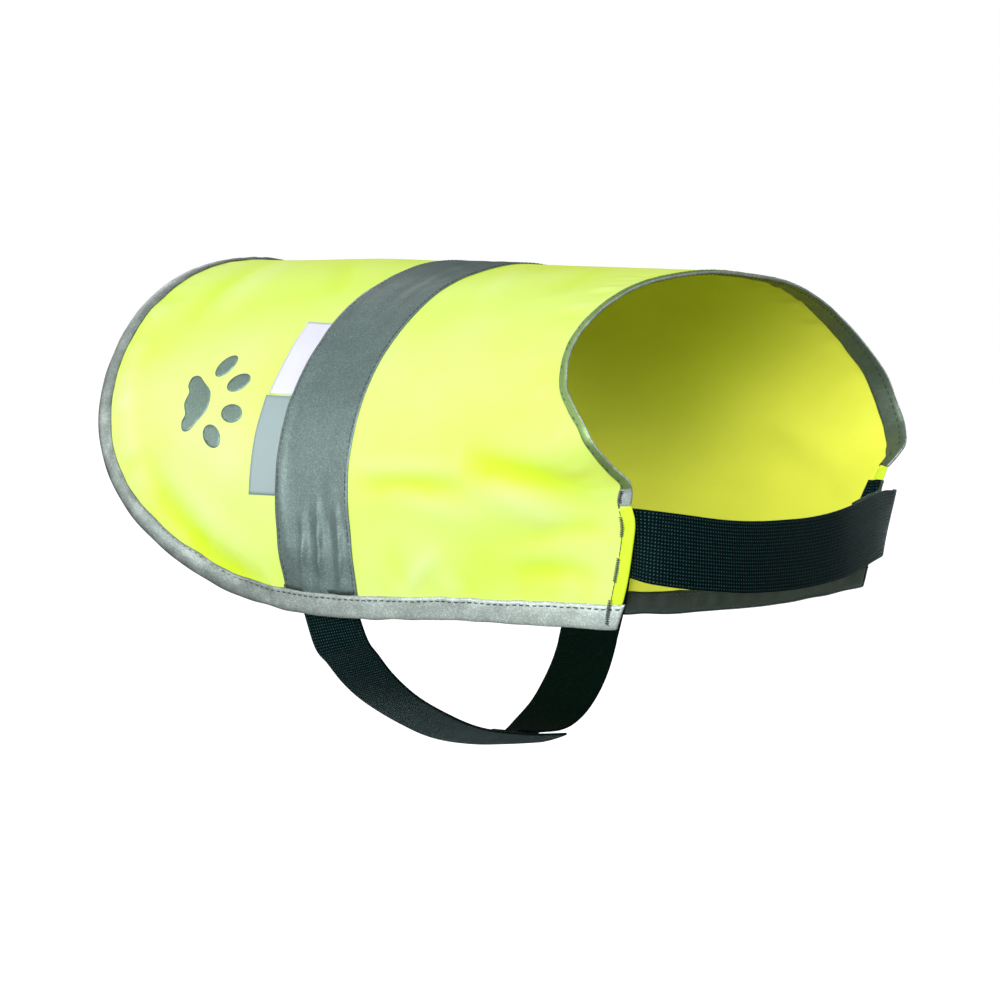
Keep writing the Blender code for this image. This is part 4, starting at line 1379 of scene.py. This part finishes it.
def tucked_rows(xs, side, height):
    """Rows of a chest strap sewn flat inside a front edge."""
    rows = []
    for x in xs:
        length, _, z, _ = half_section(x, side)
        v = side * float(np.interp(-height, -z, length))
        up = skin(x, v - side * STRAP_WIDTH / 2) - skin(x, v + side * STRAP_WIDTH / 2)
        rows.append((skin(x, v) - CHEST_UNDER * outward(x, v), up / np.linalg.norm(up)))
    return rows


def chest_rows():
    """The long chest strap from inside the right front edge to its free tip past the left one."""
    return tucked_rows(TUCKED_RIGHT_X, -1, CHEST_START_Z) + [
        (np.array(point), np.array((0.0, 0.0, 1.0))) for point in CHEST_RIGHT]


def across_way(rise, turn):
    """Direction from the rear edge of a belly strap to its front edge."""
    rise, turn = math.radians(rise), math.radians(turn)
    return np.array((math.cos(rise) * math.cos(turn), math.cos(rise) * math.sin(turn), math.sin(rise)))


def belly_rows(table, side):
    """A belly strap from inside the hem, past its binding, and along its table."""
    rows = []
    for inside in INSIDE_HEM:
        v = side * (float(girth(BELLY_X, side)) - inside)
        along = skin(BELLY_X + STRAP_WIDTH / 2, v) - skin(BELLY_X - STRAP_WIDTH / 2, v)
        rows.append((skin(BELLY_X, v) - BELLY_UNDER * outward(BELLY_X, v), along / np.linalg.norm(along)))
    return rows + [(np.array((x, y, z)), across_way(rise, turn)) for x, y, z, rise, turn in table]


def shifted(rows, distance):
    """Rows moved off the webbing along its outward normal."""
    middle = np.array([row[0] for row in rows])
    across = np.array([row[1] for row in rows])
    normal = unit_rows(np.cross(np.gradient(middle, axis=0), across))
    return [(m + distance * n, a) for m, n, a in zip(middle, normal, across)]


def strap_lines(rows):
    """Middle line of a strap at an even step, with its tangents, across directions and normals."""
    middle, across = smooth_rows(rows, STRAP_STEP)
    tangent = unit_rows(np.gradient(middle, axis=0))
    across = unit_rows(across - tangent * np.sum(across * tangent, axis=1)[:, None])
    return middle, tangent, across, np.cross(tangent, across)


def strap_height(run, shares, seed, lean):
    """How far the webbing stands off its line: a sway and a twist, its cup, and the lean of its cut end."""
    free = np.clip(np.minimum(run, FREE_RUN) / FREE_RUN, 0.0, 1.0)
    sway = 0.25 * wander(run, seed + 1, 110.0) * free
    twist = 0.18 * wander(run, seed + 2, 90.0) * free + lean * np.exp(-((run[-1] - run) / 26.0) ** 2)
    cup = -STRAP_CUP * (2.0 * shares) ** 2
    return sway[:, None] + twist[:, None] * 2.0 * shares[None, :] + cup[None, :] * free[:, None]


def webbing(name, rows, material, seed, slant=0.0, lean=0.0, start_slant=0.0, start_wide=0.0, trimmed=0.0):
    """Elastic webbing along rows: slightly cupped, with soft edges and an uneven run.

    slant moves the corners of the cut end along the run, lean moves them off it, start_slant moves those of
    the start along it, start_wide widens the start, and trimmed narrows it all, in millimetres.
    """
    own = bpy.context.scene.vest_webbing
    middle, tangent, across, normal = strap_lines(rows)
    run = run_length(middle)
    shares = np.linspace(-0.5, 0.5, STRAP_COLUMNS)
    width = own.width / MM - trimmed + 0.2 * wander(run, seed, 40.0) + start_wide * np.exp(-(run / 34.0) ** 2)
    slide = slant * np.exp(-((run[-1] - run) / 14.0) ** 2) + start_slant * np.exp(-(run / 12.0) ** 2)
    points = (middle[:, None] + shares[None, :, None] * width[:, None, None] * across[:, None]
              + (2.0 * shares[None, :, None] * slide[:, None, None]) * tangent[:, None])
    points = points + strap_height(run, shares, seed, lean)[..., None] * normal[:, None]
    uv = np.stack(np.broadcast_arrays(run[:, None], shares[None, :] * own.width / MM), axis=-1)
    grid, points = points.shape[:2], points.reshape(-1, 3)
    faces = facing(points, grid_faces(*grid), np.repeat(normal, len(shares), axis=0))
    piece = new_piece(name, points, faces, material, uv.reshape(-1, 2))
    thicken(piece, own.thickness)
    bevel = piece.modifiers.new("soft edges", "BEVEL")
    bevel.width = 0.0004
    bevel.segments = 2
    bevel.angle_limit = math.radians(60.0)
    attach(piece, "root")
    return piece


class VestChestStraps(bpy.types.Operator):
    """Builds the chest straps and finishes their hook patch"""

    bl_idname = "vest.chest_straps"
    bl_label = "Chest straps"

    def execute(self, context):
        rows = chest_rows()
        tucked = len(TUCKED_RIGHT_X)
        long_strap = webbing("chest_webbing_right", rows, elastic_material(), 81, slant=2.0, lean=5.5)
        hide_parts("chest_strap_right")
        lap = shifted(rows, -LAP_STEP)[tucked + CHEST_LAP[0]:tucked + CHEST_LAP[1]]
        short_rows = tucked_rows(TUCKED_LEFT_X, 1, CHEST_LEFT_START_Z) + lap[::-1]
        short_strap = webbing("chest_webbing_left", short_rows, elastic_material(), 84, start_slant=5.0)
        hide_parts("chest_strap_left")
        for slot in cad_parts["chest_hook"].material_slots:
            slot.material = hook_material()
        return {"FINISHED"}


class VestBellyStraps(bpy.types.Operator):
    """Builds the belly straps and the hook patch between them"""

    bl_idname = "vest.belly_straps"
    bl_label = "Belly straps"

    def execute(self, context):
        right = webbing("belly_webbing_right", belly_rows(BELLY_RIGHT, -1), elastic_material(), 91,
                        start_wide=3.0)
        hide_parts("belly_strap_right")
        left = webbing("belly_webbing_left", belly_rows(BELLY_LEFT, 1), loop_material(), 94)
        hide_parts("belly_strap_left")
        patch = shifted(belly_rows(BELLY_RIGHT, -1), -LAP_STEP / 2)[-4:-1]
        hook = webbing("belly_hook_patch", patch, hook_material(), 97, trimmed=5.0)
        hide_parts("belly_hook")
        return {"FINISHED"}


def sew_bindings(trims):
    """A row of stitches on each leg of the hem and neck bindings."""
    hem, neck = hem_path(4.0), neck_path(4.0)
    hem = inset(hem, hem_widths(hem) - np.interp(hem[:, 0], SEAM_X, SEAM_IN), -1.0)
    neck = inset(neck, neck_widths(neck) - 1.1, 1.0)
    sunk = np.interp(hem[:, 0], SEAM_X, SEAM_SUNK)
    outer = [laid_line(hem, TRIM_LIFT + sunk), laid_line(neck, TRIM_LIFT - 0.1)]
    inner = [(points, -up) for points, up in (laid_line(hem, TRIM_INNER_LIFT - 0.12),
                                              laid_line(neck, TRIM_INNER_LIFT - 0.12))]
    sewn_lines("binding_stitches", outer + inner, Pitch=trims.stitch_pitch, Length=0.0023,
               Thread_radius=0.00036, Arch=0.0004, Seed=3)


def sew_band():
    """A row of stitches along each edge of the girth band."""
    x, v = band_rows(np.linspace(-0.985, 0.985, 150), np.array(BAND_SEAMS))
    band = [laid_line(np.stack((x[:, i], v[:, i]), axis=1), BAND_LIFT + 0.15) for i in (0, 1)]
    sewn_lines("band_stitches", band, Pitch=0.0036, Length=0.0025, Thread_radius=0.00022,
               Arch=0.0002, Seed=4)


def front_edge_lines(width):
    """The thread line down each turned edge, and its bartacks on the bindings and over the strap."""
    lines, tacks = [], []
    for side, corner in ((-1, NECK_LINE[0]), (1, NECK_LINE[-1])):
        path = front_path(side, corner, 1.0)
        seam = inset(path, width + 0.4, 1.0 if side < 0 else -1.0)
        run = run_length(path)
        lines.append(laid_line(seam[(run > 14.0) & (run < run[-1] - 1.0)], 1.35))
        for low, high, lift in EDGE_TACKS:
            tacks.append(laid_line(seam[(run >= low) & (run <= high)], lift))
    return lines, tacks


def band_tacks():
    """Bartacks over the hem binding at the girth band's corners."""
    tacks = []
    for way, first, last in BAND_TACKS:
        x, v = band_rows(np.array((way,)), np.linspace(first, last, 16))
        tacks.append(laid_line(np.stack((x[0], v[0]), axis=1), 2.05))
    return tacks


def neck_tacks():
    """A bartack at each end of the neck binding."""
    tacks = []
    for path in (neck_path(1.0), neck_path(1.0)[::-1]):
        run = run_length(path)
        seam = inset(path, neck_widths(path) - 1.4, 1.0 if path[0, 1] < 0 else -1.0)
        tacks.append(laid_line(seam[(run > 1.0) & (run < 9.0)], 2.0))
    return tacks


class VestStitching(bpy.types.Operator):
    """Sews the bindings, band and front edges"""

    bl_idname = "vest.stitching"
    bl_label = "Stitching"

    def execute(self, context):
        sew_bindings(context.scene.vest_trims)
        sew_band()
        lines, tacks = front_edge_lines(context.scene.vest_cloth.turned_edge / MM)
        tacks += band_tacks() + neck_tacks()
        sewn_lines("edge_stitches", lines, Pitch=0.0030, Length=0.0026, Thread_radius=0.00022,
                   Arch=0.0001, Seed=5)
        sewn_lines("bartacks", tacks, Pitch=0.00056, Length=0.0023, Thread_radius=0.00023, Arch=0.0004,
                   Turn=math.radians(90.0), Zigzag=0.30, Unevenness=0.16, Seed=6)
        return {"FINISHED"}


class VestStage(bpy.types.Operator):
    """Sets the camera, the pale floor and the soft studio light"""

    bl_idname = "vest.stage"
    bl_label = "Stage"

    def execute(self, context):
        own = context.scene.vest_stage
        self.camera(context, own)
        self.floor(own)
        self.light(context)
        context.scene.view_settings.view_transform = "Standard"
        return {"FINISHED"}

    def camera(self, context, own):
        back = Vector((math.sin(own.azimuth) * math.cos(own.elevation),
                       -math.cos(own.azimuth) * math.cos(own.elevation), math.sin(own.elevation)))
        lens = bpy.data.cameras.new("camera")
        lens.sensor_width = 36.0
        lens.lens = own.lens
        lens.clip_end = 50.0
        camera = bpy.data.objects.new("camera", lens)
        camera.location = Vector(CAMERA_TARGET) + back * own.distance
        camera.rotation_euler = (-back).to_track_quat("-Z", "Y").to_euler()
        context.scene.collection.objects.link(camera)
        context.scene.camera = camera

    def floor(self, own):
        material, tree, shader = new_material("Floor", 0.8)
        tone = uneven_tone(tree, surface_vector(tree, own_uv=False), 0.02, 3.0)
        tree.links.new(shaded(tree, own.floor_colour, tone), shader.inputs["Base Color"])
        shader.inputs["Emission Color"].default_value = (1.0, 1.0, 1.0, 1.0)
        shader.inputs["Emission Strength"].default_value = FLOOR_GLOW
        mesh = bpy.data.meshes.new("floor")
        corners = [(FLOOR_REACH * x, FLOOR_REACH * y, own.floor_z)
                   for x, y in ((-1, -1), (1, -1), (1, 1), (-1, 1))]
        mesh.from_pydata(corners, [], [(0, 1, 2, 3)])
        mesh.materials.append(material)
        floor = bpy.data.objects.new("floor", mesh)
        bpy.context.scene.collection.objects.link(floor)
        floor.visible_diffuse = False
        floor.visible_glossy = False

    def light(self, context):
        world = bpy.data.worlds.new("studio")
        world.use_nodes = True
        tree = world.node_tree
        sky = tree.nodes["Background"]
        sky.inputs["Color"].default_value = (1.0, 1.0, 1.0, 1.0)
        path = tree.nodes.new("ShaderNodeLightPath")
        strength = maths(tree, "MULTIPLY_ADD", path.outputs["Is Camera Ray"], 1.0 - AMBIENT, AMBIENT)
        tree.links.new(strength, sky.inputs["Strength"])
        context.scene.world = world
        for name, place, power in LAMPS:
            lamp = bpy.data.lights.new(name, "AREA")
            lamp.shape = "DISK"
            lamp.size = LAMP_SIZE
            lamp.energy = power
            light = bpy.data.objects.new(name, lamp)
            light.location = place
            aim = Vector(LAMP_TARGET) - Vector(place)
            light.rotation_euler = aim.to_track_quat("-Z", "Y").to_euler()
            context.scene.collection.objects.link(light)


class VestSidebar(bpy.types.Panel):
    """Lists the vest's pieces and their sizes"""

    bl_idname = "VIEW3D_PT_dog_vest"
    bl_label = "Dog safety vest"
    bl_space_type = "VIEW_3D"
    bl_region_type = "UI"
    bl_category = "Dog vest"

    def draw(self, context):
        for settings, _ in SETTINGS:
            group = getattr(context.scene, settings)
            box = self.layout.box()
            for name in group.__annotations__:
                box.prop(group, name)
        for operator in OPERATORS:
            self.layout.operator(operator.bl_idname)


SETTINGS = (("vest_cloth", VestClothSettings), ("vest_trims", VestTrimSettings),
            ("vest_webbing", VestWebbingSettings), ("vest_stage", VestStageSettings))
OPERATORS = (VestStage, VestPanel, VestTurnedEdges, VestBindings, VestGirthBand, VestLabels, VestMotif,
             VestChestStraps, VestBellyStraps, VestStitching)


def register():
    for name, settings in SETTINGS:
        bpy.utils.register_class(settings)
        setattr(bpy.types.Scene, name, bpy.props.PointerProperty(type=settings))
    for operator in OPERATORS:
        bpy.utils.register_class(operator)
    bpy.utils.register_class(VestSidebar)


def unregister():
    bpy.utils.unregister_class(VestSidebar)
    for operator in reversed(OPERATORS):
        bpy.utils.unregister_class(operator)
    for name, settings in reversed(SETTINGS):
        delattr(bpy.types.Scene, name)
        bpy.utils.unregister_class(settings)


def main():
    register()
    bpy.ops.vest.stage()
    bpy.ops.vest.panel()
    bpy.ops.vest.turned_edges()
    bpy.ops.vest.bindings()
    bpy.ops.vest.girth_band()
    bpy.ops.vest.labels()
    bpy.ops.vest.motif()
    bpy.ops.vest.chest_straps()
    bpy.ops.vest.belly_straps()
    bpy.ops.vest.stitching()


if __name__ == "__main__":
    main()
